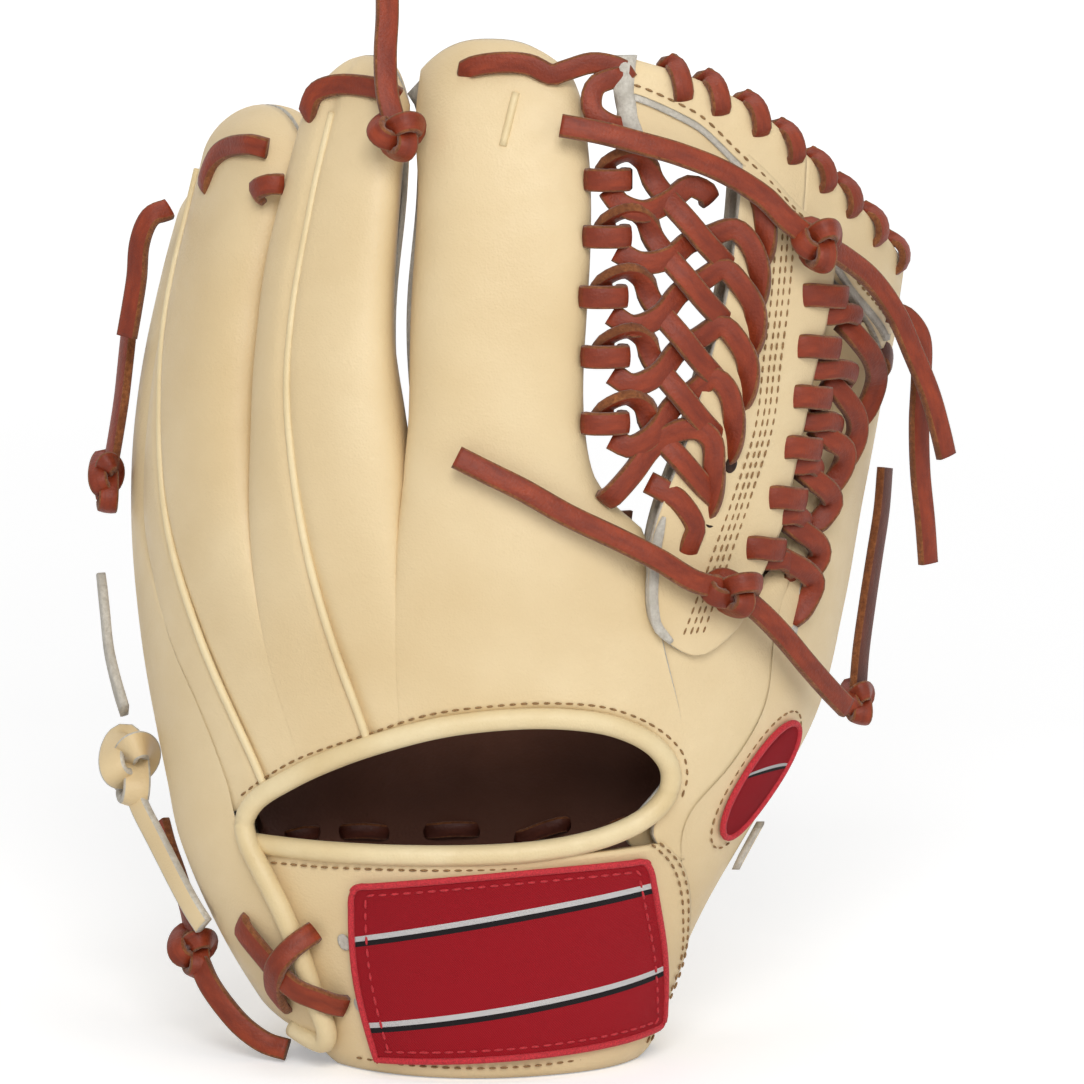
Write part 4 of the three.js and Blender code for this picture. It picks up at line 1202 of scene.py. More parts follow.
# ---------------------------------------------------------------------------------------- wrist
@dataclass(frozen=True)
class Wrist:
    """The wrist strap, its patch, and the bound opening of the hand."""

    strap_top: float = 62.0
    strap_thick: float = 3.4
    roll: float = 2.9
    patch_thick: float = 1.2
    opening: Sequence[tuple[float, float, float]] = (
        (-60, 10.5, 2.0), (-53, 8.6, 2.2), (-46.5, 8.4, 2.4), (-42.8, 12.6, 2.5),
        (-41.2, 22, 2.5), (-40.2, 34, 2.5), (-41.4, 46, 2.6), (-43.8, 56, 2.6),
        (-46.2, 64, 2.2), (-46.4, 70, 1.6), (-42.6, 76, 1.2), (-35.5, 82, 0.8),
        (-27.5, 88, 0.6), (-18, 94, 0.6), (-6.5, 99.4, 0.6), (5, 101.6, 0.6), (14, 101, 0.6),
        (21.5, 98.4, 0.6), (28.6, 93, 0.6), (33.4, 86.5, 0.6), (35.6, 80, 0.6),
        (34.8, 74.5, 0.4), (31, 70, 0.0), (24, 66.6, -0.4), (14, 64.4, -0.8), (2, 63.5, -1.0),
        (-14, 63.2, -1.0), (-30, 63.2, -1.0), (-44, 63.2, -1.4), (-50, 63.2, -1.8))

    def strap(self) -> bpy.types.Object:
        """The strap across the back of the wrist."""
        cloth = Cloth()
        u, v = share_grid(90, 44)
        height = 0.4 + (self.strap_top + 2.2 * u**3 - 0.4) * v
        angle = (along(((0, -55), (66, -62)), height) * (1 - u)
                 + along(STRAP_RIGHT, height) * u)
        over = -1.7 * ramp(0.6, 0.92, u)
        fold = 2.4 * np.clip(1 - height / 5, 0, 1) ** 2
        slump = 0.5 * np.sin(angle * 0.09 + 0.8) * np.sin(height * 0.09)
        outer = FORM.back(angle, height, 1 + over + fold + slump)
        inner = FORM.back(angle, height, 1 + self.strap_thick + over - 0.4 * fold)
        slab(cloth, outer, inner)
        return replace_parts(cloth.piece("wrist_strap_leather",
                                       (Finish.SHELL, Finish.SUEDE, Finish.SHELL),
                                       "shell_leather"), "wrist_strap")

    def gusset(self) -> bpy.types.Object:
        """The leather under the strap's end, which shows as the thumb folds."""
        cloth = Cloth()
        u, v = share_grid(24, 40)
        height = 2 + 86 * v
        edge = along((*STRAP_RIGHT, (80, 42), (90, 44)), height)
        angle = (edge - 6) * (1 - u) + (edge + 12) * u
        slab(cloth, FORM.back(angle, height, 4.9), FORM.back(angle, height, 6.2))
        return cloth.piece("strap_gusset", HIDE, "shell_leather")

    def strap_lining(self) -> bpy.types.Object:
        """The strap's soft inner face."""
        cloth = Cloth()
        u, v = share_grid(50, 20)
        height = 2 + 60 * v
        angle = (along(((0, -52), (66, -60)), height) * (1 - u)
                 + along(((0, 60), (23, 66), (40, 56), (66, 32)), height) * u)
        slab(cloth, FORM.back(angle, height, 8.4), FORM.back(angle, height, 5.6))
        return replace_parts(cloth.piece("strap_suede", (Finish.SUEDE,) * 3, "suede"),
                           "strap_lining")

    def binding(self) -> bpy.types.Object:
        """The rolled binding down the flap, over the opening and along the strap."""
        cloth = Cloth()
        table = np.array(self.opening)
        cord_tube(cloth, FORM.back(table[:, 0], table[:, 1], -table[:, 2]), self.roll, sides=20)
        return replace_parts(cloth.piece("opening_binding", (Finish.BINDING,), "welt_leather"),
                           "hand_opening_binding")

    def patch(self) -> list[bpy.types.Object]:
        """The woven patch, its overlocked border and its row of stitches."""
        cloth = Cloth()
        u, v = share_grid(60, 40)
        left = np.interp(v, (0, 1), (-30.0, -23.0))
        right = along(((0, 70), (0.35, 59), (0.7, 47), (1, 38)), v)
        foot = 5.2 + 4.2 * u
        head = 54 + 6 * np.sin(u * math.pi / 2)
        angle = left * (1 - u) + right * u
        height = foot * (1 - v) + head * v
        lift = 1.3 + 0.9 * ramp(0.5, 0.9, u)
        slab(cloth, FORM.back(angle, height, -lift),
             FORM.back(angle, height, self.patch_thick - lift))
        cloth_piece = cloth.piece("wrist_patch_cloth", (Finish.PATCH,) * 3, "patch_cloth")
        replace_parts(cloth_piece, "wrist_patch")
        edge = FORM.back(angle, height, -lift)
        ring = np.concatenate([edge[0], edge[1:, -1], edge[-1, -2::-1], edge[-2:0:-1, 0]])
        border = StitchRow.sew("wrist_patch_border", [np.concatenate([ring, ring[:1]])],
                               "patch_cloth", OVERLOCK_STEP, 2.6, OVERLOCK, Finish.RED_THREAD)
        rim = Cloth()
        cord_tube(rim, ring[::3], OVERLOCK, sides=10, closed=True)
        rim_piece = rim.piece("wrist_patch_rim", (Finish.RED_THREAD,), "patch_cloth")
        inset = FORM.back(angle, height, -lift - 0.15)
        inner = np.concatenate([inset[2, 3:-3], inset[3:-3, -4], inset[-3, -4:2:-1],
                                inset[-4:2:-1, 3]])
        row = StitchRow.sew("wrist_patch_stitches", [inner], "patch_cloth", 3.4, 2.5, 0.8,
                            Finish.RED_THREAD)
        return [cloth_piece, border, rim_piece, row]

    def cross_lace(self) -> bpy.types.Object:
        """The crossed lace that ties the flap to the strap."""
        cloth = Cloth()
        for places in (((-57, 41, 1.8), (-55.6, 39.6, 4.4), (-50, 33, 5.8), (-42.5, 25.5, 8.0),
                        (-37, 22, 5.0), (-35, 20.6, 2.8), (-33.6, 19.8, 0.2)),
                       ((-56, 18, 1.8), (-54.4, 19, 4.6), (-50, 24, 7.6), (-44, 31.5, 9.6),
                        (-39.5, 36.6, 6.6), (-36.2, 39.4, 3.4), (-35, 40.4, 0.6))):
            lace(cloth, *on_back(places))
        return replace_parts(cloth.piece("strap_tie", LACED, "lace_leather"), "strap_cross_lace")

    def stitches(self) -> list[bpy.types.Object]:
        """The seams round the opening, along the strap and down its end."""
        def line(places: Sequence[tuple[float, float]], lift: float) -> np.ndarray:
            """Points of a seam on the back."""
            table = np.array(places)
            return FORM.back(table[:, 0], table[:, 1], -lift)

        arch = ((-46.5, 77), (-41, 81.8), (-32.5, 88.6), (-20, 96.2), (-9, 102.6), (3, 105.4),
                (11, 105.6), (19.5, 103.8), (27.8, 98.4), (35, 90.4), (38.6, 83), (39.6, 78))
        hem = ((-38, 4.4), (-20, 4.0), (0, 3.8), (20, 4.0), (40, 4.6), (56, 5.4), (66, 6.4))
        top = ((-42, 58.6), (-29, 58.8), (-8, 59.2), (8, 59.6), (20, 60.6), (28, 62))
        heights = np.linspace(6, 64, 24)
        seam = along(STRAP_RIGHT, heights)
        rows = [np.stack([seam - FORM.degrees(gap, heights), heights], -1) for gap in (1.6, 4.6)]
        opening = StitchRow.sew("opening_stitches", [line(arch, 0.15)], "shell_leather", 3.1)
        strap = StitchRow.sew("strap_stitches",
                              [line(top, -0.75), *[line(row, 0.85) for row in rows],
                               line(hem, -0.6)], "shell_leather", 3.1)
        return [opening, strap]

    def build(self) -> None:
        """Builds the wrist."""
        pieces = [self.strap(), self.gusset(), self.strap_lining(), self.binding(), *self.patch(),
                  self.cross_lace(), *self.stitches()]
        for piece in pieces:
            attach(piece, Body.FINGERS.value)


# ------------------------------------------------------------------------------------------ web
@dataclass(frozen=True)
class Web:
    """The web: its post, the laces braided to the index finger and the thumb, and its crown."""

    index_holes: Sequence[tuple[float, float]] = (
        (8, 247), (9, 232), (10, 216), (12, 200), (14, 182), (17, 160))
    arch_tops: Sequence[tuple[float, float]] = (
        (28.2, 233.1), (27.4, 222.5), (28.6, 207.2), (29.1, 193.1), (28.1, 179.4))
    post_tips: Sequence[tuple[float, float]] = (
        (34.5, 211.7), (35.3, 199.7), (35.8, 185.5), (35, 170.9), (32.8, 156.4))
    post_left: Stations = ((117, 28), (124, 25.4), (132, 24), (140, 23.6), (150, 23.6),
                           (160, 24.6), (175, 27), (193, 28), (215, 29), (245, 29))
    post_right: Stations = ((117, 40), (124, 42), (132, 43.2), (140, 45.6), (155, 48.4),
                            (200, 49.5), (245, 50))
    post_middle: Stations = ((122, 32), (140, 35), (158, 37.8), (178, 40.1), (200, 38.9),
                             (226, 37.8), (245, 37))
    row_offsets: tuple[float, ...] = (-3.1, -0.9, 0.9, 3.1)

    def post(self) -> bpy.types.Object:
        """The leather post of the web, with a rounded flap at its foot."""
        cloth = Cloth()
        u, v = share_grid(34, 90)
        height = 117 + (along(CROWN_RAW, 29 + 21 * u) + 4 - 117) * v**1.3
        angle = along(self.post_left, height) * (1 - u) + along(self.post_right, height) * u
        middle = 34 * (1 - v) + along(self.post_middle, height) * v
        rounding = np.sqrt(1 - np.clip((131 - height) / 14.2, 0, 1) ** 2.4)
        angle = middle + (angle - middle) * rounding
        rim = 0.5 * np.abs(2 * u - 1) ** 8
        swell = 0.35 * np.sin(height * 0.21 + angle * 0.1)
        slab(cloth, FORM.back(angle, height, -2.7 + rim + swell * 0.5),
             FORM.back(angle, height, -0.3))
        heights = np.linspace(121.5, 156, 20)
        side = along(self.post_left, heights) + 0.7 + 1.6 * np.clip((126 - heights) / 5, 0, 1)
        sewn = len(cloth.slots)
        lace(cloth, FORM.back(side, heights, -2.9), FORM.outward(side, heights),
             LaceCut(2.8, 1.6), pinch=(0.6, 0.3))
        cloth.slots[sewn:] = [1] * (len(cloth.slots) - sewn)
        piece = cloth.piece("web_post_leather", HIDE, "shell_leather")
        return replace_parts(piece, "web_post")

    def backing(self) -> bpy.types.Object:
        """The layer behind the post, on the pocket side."""
        cloth = Cloth()
        u, v = share_grid(26, 70)
        height = 136 + (along(CROWN_RAW, 30 + 22 * u) + 4 - 136) * v
        angle = (along(self.post_left, height) + 2.5) * (1 - u) + 52 * u
        slab(cloth, FORM.back(angle, height, 12.2), FORM.back(angle, height, 9.6))
        piece = cloth.piece("web_post_back", HIDE, "shell_leather")
        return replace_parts(piece, "web_post_backing")

    def _stub(self, cloth: Cloth, angle: float, height: float) -> None:
        """A short pass of lace over the finger's edge, from one hole to the braid."""
        lace(cloth, *on_back((
            (angle - 3, height, -0.8), (angle - 2.1, height, 1.4), (angle, height, 2.4),
            (angle + 2, height, 2.0), (angle + 3.2, height, 0), (angle + 2.6, height, -2.4))))

    def index_braid(self) -> bpy.types.Object:
        """The braid between the index finger and the post."""
        cloth = Cloth()
        for angle, height in self.index_holes[:5]:
            self._stub(cloth, angle, height)
        shares = (0.1, 0.3, 0.52, 0.68, 0.84, 1.0)
        dips = (-5.5, -10, -8.8, -4, -2.2, 0)
        lifts = (-0.8, 0.8, 0.8, -0.6, 0.2, 2.6)
        for row, (hole, arch, tip) in enumerate(zip(self.index_holes[1:], self.arch_tops,
                                                    self.post_tips)):
            steps = [(hole[0] + (arch[0] - hole[0]) * s,
                      hole[1] + (arch[1] - hole[1]) * s + dip * (0.75 if row == 0 else 1), lift, 0)
                     for s, dip, lift in zip(shares, dips, lifts)]
            if row == 4:
                steps = [(16, 161, -1, 0), (16.5, 162.3, 1.8, 0), (19.2, 168.3, 1.6, 0),
                         (21.7, 174.6, 0.6, 0), (24.5, 178.7, 1.2, 0), (*arch, 2.6, 0)]
            drop = tip[1] - arch[1]
            steps += [(arch[0] + 2.4, arch[1] - 3.4, 4.0, 14),
                      (arch[0] + (tip[0] - arch[0]) * 0.72, arch[1] + drop * 0.45, 4.4, 40),
                      (arch[0] + (tip[0] - arch[0]) * 0.92, arch[1] + drop * 0.75, 3.2, 60),
                      (tip[0], tip[1], 1.4, 74), (tip[0] + 0.1, tip[1] - 2.5, -1.6, 78)]
            lace(cloth, *on_back(steps), pinch=DRAWN_IN)
        lace(cloth, *on_back(((8.5, 244, -1), (10.3, 240.5, 1), (14.1, 238.5, 1), (18, 241.2, 0),
                              (20.7, 244.8, 0.6), (23.2, 243.3, 1.6), (24.6, 241, -1))))
        lace(cloth, *on_back(((31.6, 243, 1), (32.6, 239, 3.2, 20), (33.6, 232, 3.8, 50),
                              (34.3, 226, 2.2, 70), (34.4, 222, -1.6, 76))), pinch=DRAWN_IN)
        loop = ((-0.3, 1.5, -2.6, 0), (-0.1, 4.6, -0.6, 55), (2.8, 6.8, 0.4, 60),
                (5.6, 4.4, -0.4, 40), (7.4, -0.8, -2.0, 0), (9.6, -5.6, 0.2, 0),
                (12.3, -10.9, 2.9, 0), (16.2, -17.8, 3.0, 0), (20.2, -23.5, 1.2, 0),
                (22, -25.5, -2, 0))
        for angle, height in self.index_holes[:5]:
            lace(cloth, *on_back([(angle + a, height + z, lift, turn)
                                  for a, z, lift, turn in loop]))
        lace(cloth, *on_back((
            (22.6, 165, -1.6), (24.7, 162.9, 0.6), (27.1, 159.9, 2), (30.2, 152.7, 2.6),
            (29.9, 148.6, 2.2), (29.7, 144.8, 0.8), (29.6, 142.6, -2))))
        piece = cloth.piece("index_web_braid", LACED, "lace_leather")
        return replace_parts(piece, "index_braid")

    def thumb_braid(self) -> bpy.types.Object:
        """The braid between the post and the thumb."""
        cloth = Cloth()
        stubs = (((42.5, 213.7), (52.4, 212.3)), ((43.6, 199.7), (53, 198.2)),
                 ((44.8, 185.8), (53.5, 184.3)), ((45.1, 171.8), (53.3, 170.2)),
                 ((43.3, 158.3), (51.4, 156.8)), ((40.1, 145.1), (47.9, 143.7)))
        for (a, z), (b, y) in stubs:
            lace(cloth, *on_back((
                (a, z, -2.8), (a + 0.7, z, 1.6), (a + 2, z, 3.7), ((a + b) / 2, (z + y) / 2, 4.2),
                (b - 1.6, y, 3.9), (b + 0.2, y - 0.5, 2.4), (b + 0.6, y - 1.4, -0.6),
                (b - 0.6, y - 2, -2.6))), LaceCut(6.6, 2.4))
        caps = (((49.6, 207.2), (58.7, 205.8)), ((49.9, 192.1), (61.4, 189.5)),
                ((51.1, 177.6), (59.7, 175.3)), ((49.6, 166), (55.7, 163.9)),
                ((47.3, 152.6), (54.5, 149.8)), ((46.1, 140.5), (52.6, 137.8)))
        for (a, z), (b, y) in caps:
            lace(cloth, *on_back(((a - 1.2, z + 0.8, -2.2), (a, z, 1.2), (a + 2, z, 2.6),
                                  ((a + b) / 2, (z + y) / 2 + 0.8, 2.8), (b - 1, y, 2.0),
                                  (b + 0.8, y - 2.2, 0.2), (b + 0.6, y - 5, -2.4))),
                 NARROW_LACE)
        drops = (((55.8, 204.5), (58, 200.4), (64.6, 192.4), (69.8, 184.2), (71.5, 172)),
                 ((55, 189), (57.9, 183.8), (62.4, 177), (65, 169.8), (64.1, 159.9)),
                 ((54, 176), (56.5, 172), (60.2, 168.4), (61.8, 163), (60.8, 155)),
                 ((52, 164.5), (54.2, 160.9), (57.6, 157), (59.8, 152.8), (57.8, 145.8)),
                 ((50, 151), (52.4, 147.4), (56, 143.6), (58.4, 139), (57.2, 132)),
                 ((46.6, 143), (49.8, 139.8), (54.4, 135.8), (57.8, 131.2), (56.7, 120.6)))
        for stops in drops:
            lifts = ((-1.2, 0), (2.4, 10), (3.8, 30), (2.8, 55), (-0.6, 70))
            lace(cloth, *on_back([(*stop, *lift) for stop, lift in zip(stops, lifts)]),
                 LaceCut(6.4, 2.6), pinch=DRAWN_IN)
        piece = cloth.piece("thumb_web_braid", LACED, "lace_leather")
        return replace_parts(piece, "thumb_braid")

    def crown(self, name: str, low: float, high: float) -> bpy.types.Object:
        """Half of the crown band: leather folded over the top, on a raw strip and a lower layer.

        Args:
            name: The piece's name.
            low: The angle that it starts at.
            high: The angle that it ends at.

        Returns:
            The piece.
        """
        cloth = Cloth()
        u, s = np.meshgrid(np.linspace(low, high, 56), np.linspace(0, 1, 46))
        top, raw = along(CROWN_TOP, u), along(CROWN_RAW, u)
        up, turn = np.clip(s / 0.42, 0, 1), np.clip((s - 0.42) / 0.16, 0, 1) * math.pi
        down = np.clip((s - 0.58) / 0.42, 0, 1)

        def layer(radius: float) -> np.ndarray:
            """One face of the folded leather."""
            rise = raw + (top - 3.3 - raw) * up - (top - 6 - raw) * down
            return FORM.back(u, rise + radius * np.sin(turn), 0.9 - radius * np.cos(turn))

        slab(cloth, layer(3.4), layer(1.5))
        strip = FORM.degrees(1.0, 250.0)
        u, v = np.meshgrid(np.linspace(low, high - strip * 0.2, 56), np.linspace(0, 1, 5))
        raw = along(CROWN_RAW, u)
        slab(cloth, FORM.back(u, raw - 1.9 + 2.6 * v, -2.1 + 0.2 * v),
             FORM.back(u, raw - 1.9 + 2.6 * v, -0.4), (1, 1, 1))
        foot = along(((8, 257), (12.4, 256), (22.2, 250.5), (31.4, 241), (45, 223), (58, 209),
                      (72, 194)), u)
        head = raw + 2
        height = foot + (head - foot) * np.linspace(0, 1, 5)[:, None]
        slab(cloth, FORM.back(u, height, -1.2), FORM.back(u, height, 0.8))
        return cloth.piece(name, HIDE, "shell_leather")

    def crown_end(self) -> bpy.types.Object:
        """The rough folded end of the crown at the index finger."""
        cloth = Cloth()
        u, v = share_grid(12, 30)
        height = 258.5 + 21.5 * v
        left = along(((258, 9.6), (269, 7.6), (280, 6.4)), height)
        right = along(((258, 12.6), (269, 10.6), (280, 10.4)), height)
        angle = left * (1 - u) + right * u
        ruffle = 0.4 * np.sin(height * 0.9)
        depth = -3.9 + ruffle * 0.6 + 1.5 * (2 * u - 1) ** 2
        slab(cloth, FORM.back(angle + ruffle * 0.3, height, depth),
             FORM.back(angle, height, -0.6))
        return cloth.piece("crown_raw_end", (Finish.SUEDE,) * 3, "suede")

    def wraps(self) -> bpy.types.Object:
        """The lace wound over the crown's top edge."""
        cloth = Cloth()
        for angle in (17.3, 23.6, 30.8, 37.6, 44.5, 51.2, 59.6, 70.2):
            top = float(along(CROWN_TOP, angle))
            run = FORM.degrees(1.0, top)
            lace(cloth, *on_back((
                (angle + 1.9 * run, top - 7.4, 0.4), (angle + 1.5 * run, top - 6.0, 3.2),
                (angle + 0.6 * run, top - 3.0, 4.2), (angle - 0.4 * run, top + 0.6, 3.0),
                (angle - 1.2 * run, top + 2.2, -0.8), (angle - 1.6 * run, top + 0.8, -4.6),
                (angle - 1.4 * run, top - 3, -6.0),
                (angle - 1.0 * run, top - 7, -4.6))), NARROW_LACE)
        for start, stop in ((9, 20), (20, 34), (34, 52), (52, 73)):
            angles = np.linspace(start, stop - 1.5, 8)
            heights = along(CROWN_RAW, angles) + 5.2
            points = FORM.back(angles, heights, 5.6 + 0.8 * np.sin(np.linspace(0, math.pi, 8)))
            lace(cloth, points, -FORM.outward(angles, heights), NARROW_LACE)
        piece = cloth.piece("crown_wraps", LACED, "lace_leather")
        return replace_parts(piece, "crown_lace")

    def stitches(self) -> list[bpy.types.Object]:
        """The post's rows and the crown's row."""
        heights = np.linspace(124, 236, 50)
        rows = [FORM.back(along(self.post_middle, heights) + FORM.degrees(offset, heights),
                          heights, -2.85) for offset in self.row_offsets]
        sewn = [StitchRow.sew("post_stitches", rows, "shell_leather", 3.0, 2.1, 0.65)]
        for name, low, high in (("crown_stitches_left", 9.0, 40.4),
                                ("crown_stitches_right", 41.6, 73.5)):
            angles = np.linspace(low, high, 40)
            line = FORM.back(angles, along(CROWN_RAW, angles) + 2.2, -2.7)
            sewn.append(StitchRow.sew(name, [line], "shell_leather", 3.2, 2.2, 0.75))
        return sewn

    def thumb_end(self) -> bpy.types.Object:
        """Where the web's lace goes into the thumb's edge."""
        cloth = Cloth()
        lace(cloth, *on_back(((73.4, 193.6, -1.5), (74.2, 193, 1), (76, 190.4, 2.2),
                              (77.6, 187, 1.8), (78.2, 184.6, -1.2))), LaceCut(6, 2.4))
        # The lace's return into the thumb takes the lace hide with painted shade.
        piece = cloth.piece("web_lace_return", (Finish.LACE_PAINTED_SHADE, Finish.LACE_EDGE),
                            "lace_leather")
        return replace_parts(piece, "web_lace_end")

    def build(self) -> None:
        """Builds the web, and sets the post, its backing, the crown's end, the wraps, the post's
        stitches and the thumb end on their bodies.
        """
        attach(self.post(), Body.POCKET.value)
        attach(self.backing(), Body.POCKET.value)
        bend(self.index_braid(), Body.FINGERS, Body.POCKET, (14, 205), (32, 205))
        bend(self.thumb_braid(), Body.POCKET, Body.THUMB, (50, 170), (64, 170))
        left = self.crown("crown_leather_left", 8.4, 41.0)
        bend(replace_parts(left, "crown_band"), Body.FINGERS, Body.POCKET, (10, 262), (26, 255))
        bend(self.crown("crown_leather_right", 41.0, 74.6), Body.POCKET, Body.THUMB, (58, 218),
             (74, 205))
        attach(self.crown_end(), Body.FINGERS.value)
        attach(self.wraps(), Body.POCKET.value)
        post, left_row, right_row = self.stitches()
        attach(post, Body.POCKET.value)
        bend(left_row, Body.FINGERS, Body.POCKET, (10, 262), (26, 255))
        bend(right_row, Body.POCKET, Body.THUMB, (58, 218), (74, 205))
        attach(self.thumb_end(), Body.THUMB.value)


# ---------------------------------------------------------------------------------------- laces
@dataclass(frozen=True)
class Knot:
    """A knot of lace drawn tight: its middle and how far it reaches each way."""

    name: str
    centre: Place
    reach: Place
    body: Body
    finish: Finish = Finish.LACE
    width: float = 5.6

    def make(self) -> bpy.types.Object:
        """Builds the knot: a closed trefoil of flat lace round its middle."""
        cloth = Cloth()
        turn = np.linspace(0, 2 * math.pi, 49)
        shape = np.stack([np.sin(turn) + 2 * np.sin(2 * turn), np.sin(3 * turn) * 1.1,
                          np.cos(turn) - 2 * np.cos(2 * turn)], -1)
        reach = np.maximum(np.array(self.reach) - np.array((1.6, 1.4, 1.6)), 2.0)
        points = np.array(self.centre) + shape / np.array((3.0, 1.1, 3.0)) * reach
        facing = points - np.array(self.centre)
        facing[:, 1] -= 2.0 * reach[1]
        lace(cloth, points, facing, LaceCut(self.width, 2.4), step=1.0, closed=True)
        edge = Finish.SUEDE if self.finish is Finish.SHELL else Finish.LACE_EDGE
        slot = "shell_leather" if self.finish is Finish.SHELL else "lace_leather"
        piece = cloth.piece(self.name + "_turns", (self.finish, edge), slot)
        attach(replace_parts(piece, self.name), self.body.value)
        return piece


@dataclass(frozen=True)
class Tail:
    """The free end of a lace: its route, the way its grain face looks, and its body."""

    name: str
    route: Sequence[Place]
    facing: Place
    body: Body
    finish: Finish = Finish.LACE
    lay: str = "loose"
    width: float = 6.2
    thick: float = 2.6

    def make(self) -> None:
        cloth = Cloth()
        path = smooth_route(np.array(self.route, float), 24)
        twist = np.linspace(0, 1, len(self.route))[:, None] * np.array((0.15, 0.1, -0.1))
        lace(cloth, np.array(self.route, float), np.array(self.facing, float) + twist,
             LaceCut(self.width, self.thick), step=1.2)
        edge = Finish.SUEDE if self.finish is Finish.SHELL else Finish.LACE_EDGE
        slot = "shell_leather" if self.finish is Finish.SHELL else "lace_leather"
        piece = cloth.piece(self.name + "_strip", (self.finish, edge), slot)
        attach(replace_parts(piece, self.name), self.body.value)


# Every free end.
TAILS = (
    Tail("fingertip_tail", (
        (-34, -22, 262), (-36, -19, 270), (-36.5, -16, 280), (-36, -14, 290), (-36, -13, 298),
        (-36, -12, 305)),
        (0.2, -1, 0.1), Body.FINGERS),
    Tail("web_upper_tail", (
        (78, -20, 231), (72, -22, 236), (66, -23, 242), (55, -26, 249), (43, -29, 254),
        (33, -31, 257), (22, -32, 260), (11, -32, 262)),
        (0.1, -1, 0.3), Body.POCKET),
    Tail("web_crown_tail", (
        (83, -17, 228), (89, -10, 224), (97, -2, 217), (104, 4, 207), (109, 8, 196),
        (114, 10, 184), (117, 11, 174), (119, 12, 166)),
        (0.5, -1, 0.3), Body.POCKET),
    Tail("web_lower_tail", (
        (55, -34, 136), (47, -38, 139), (38, -41.5, 145), (27, -43.5, 151), (13, -45.5, 158),
        (1, -46.5, 165), (-9, -46.5, 170), (-17, -46, 174)),
        (0.0, -1, 0.35), Body.POCKET),
    Tail("web_thumb_tail", (
        (61, -31, 133), (67, -26, 127), (73, -21, 120), (79, -15, 112), (86, -7, 103),
        (91, -1, 97)),
        (0.4, -1, 0.2), Body.POCKET),
    Tail("thumb_tip_tail", (
        (103, 18, 206), (108, 18, 204), (112, 20, 198), (112.5, 22, 188), (112, 22, 174),
        (112.5, 22, 160), (114, 22, 146), (115, 22, 134)),
        (0.6, -1, 0.1), Body.THUMB, lay="hanging"),
    Tail("thumb_side_lace", (
        (97, 47, 93), (98, 50, 104), (100, 53, 118), (102, 55, 131), (104, 57, 144),
        (105, 59, 156)),
        # The thumb's side lace takes the lace hide with painted shade.
        (1, -0.8, 0), Body.THUMB, Finish.LACE_PAINTED_SHADE, lay="taut"),
    Tail("pinky_upper_tail", (
        (-100, 46, 232), (-105, 43, 230), (-108, 42, 223), (-109, 42, 213), (-110.5, 42, 204),
        (-112, 42, 196)),
        (-0.7, -1, 0.1), Body.FINGERS, lay="hanging"),
    Tail("pinky_side_lace", (
        (-118, 51, 157), (-116.5, 54, 166), (-115, 57, 176), (-114, 59, 185), (-113, 60, 194)),
        (-1, -0.6, 0), Body.FINGERS, lay="taut"),
    Tail("heel_side_lace", (
        (-92, -2, 31), (-93.5, 3, 38), (-96.5, 9, 46), (-100, 15, 54), (-102, 19, 60)),
        (-1, -0.8, 0), Body.FINGERS, lay="taut"),
    Tail("heel_side_tail", (
        (-90, -6, 25), (-87, -11, 20), (-82, -15, 14), (-77, -17, 9), (-71, -18, 5),
        (-65, -20, 3.6)),
        (-0.6, -1, 0.5), Body.FINGERS),
    Tail("pull_strap_tail", (
        (-110, 19, 70), (-107.6, 14.6, 65), (-103.6, 8.6, 59), (-99.6, 2.6, 53), (-95.6, -3.4, 47),
        (-91.5, -8.4, 41), (-88.4, -11.4, 37)),
        (-1, -0.9, 0.3), Body.FINGERS, Finish.SHELL),
)

# Every knot.
KNOTS = (
    Knot("fingertip_knot", FINGERTIP_KNOT, (8, 5, 7), Body.FINGERS),
    Knot("web_upper_knot", (81, -19, 229), (7, 5.5, 8), Body.POCKET),
    Knot("web_lower_knot", (58, -33, 135), (9, 5.5, 6.5), Body.POCKET),
    Knot("pinky_side_knot", (-119, 50, 154), (4, 7, 10), Body.FINGERS),
    Knot("heel_side_knot", (-92, -3, 28), (6.5, 6, 8), Body.FINGERS),
    Knot("thumb_side_knot", (97, 46, 90), (4.5, 6, 7), Body.THUMB),
    Knot("pull_strap_knot", (-111, 22, 76), (7, 9, 12), Body.FINGERS, Finish.SHELL, 7.6),
)


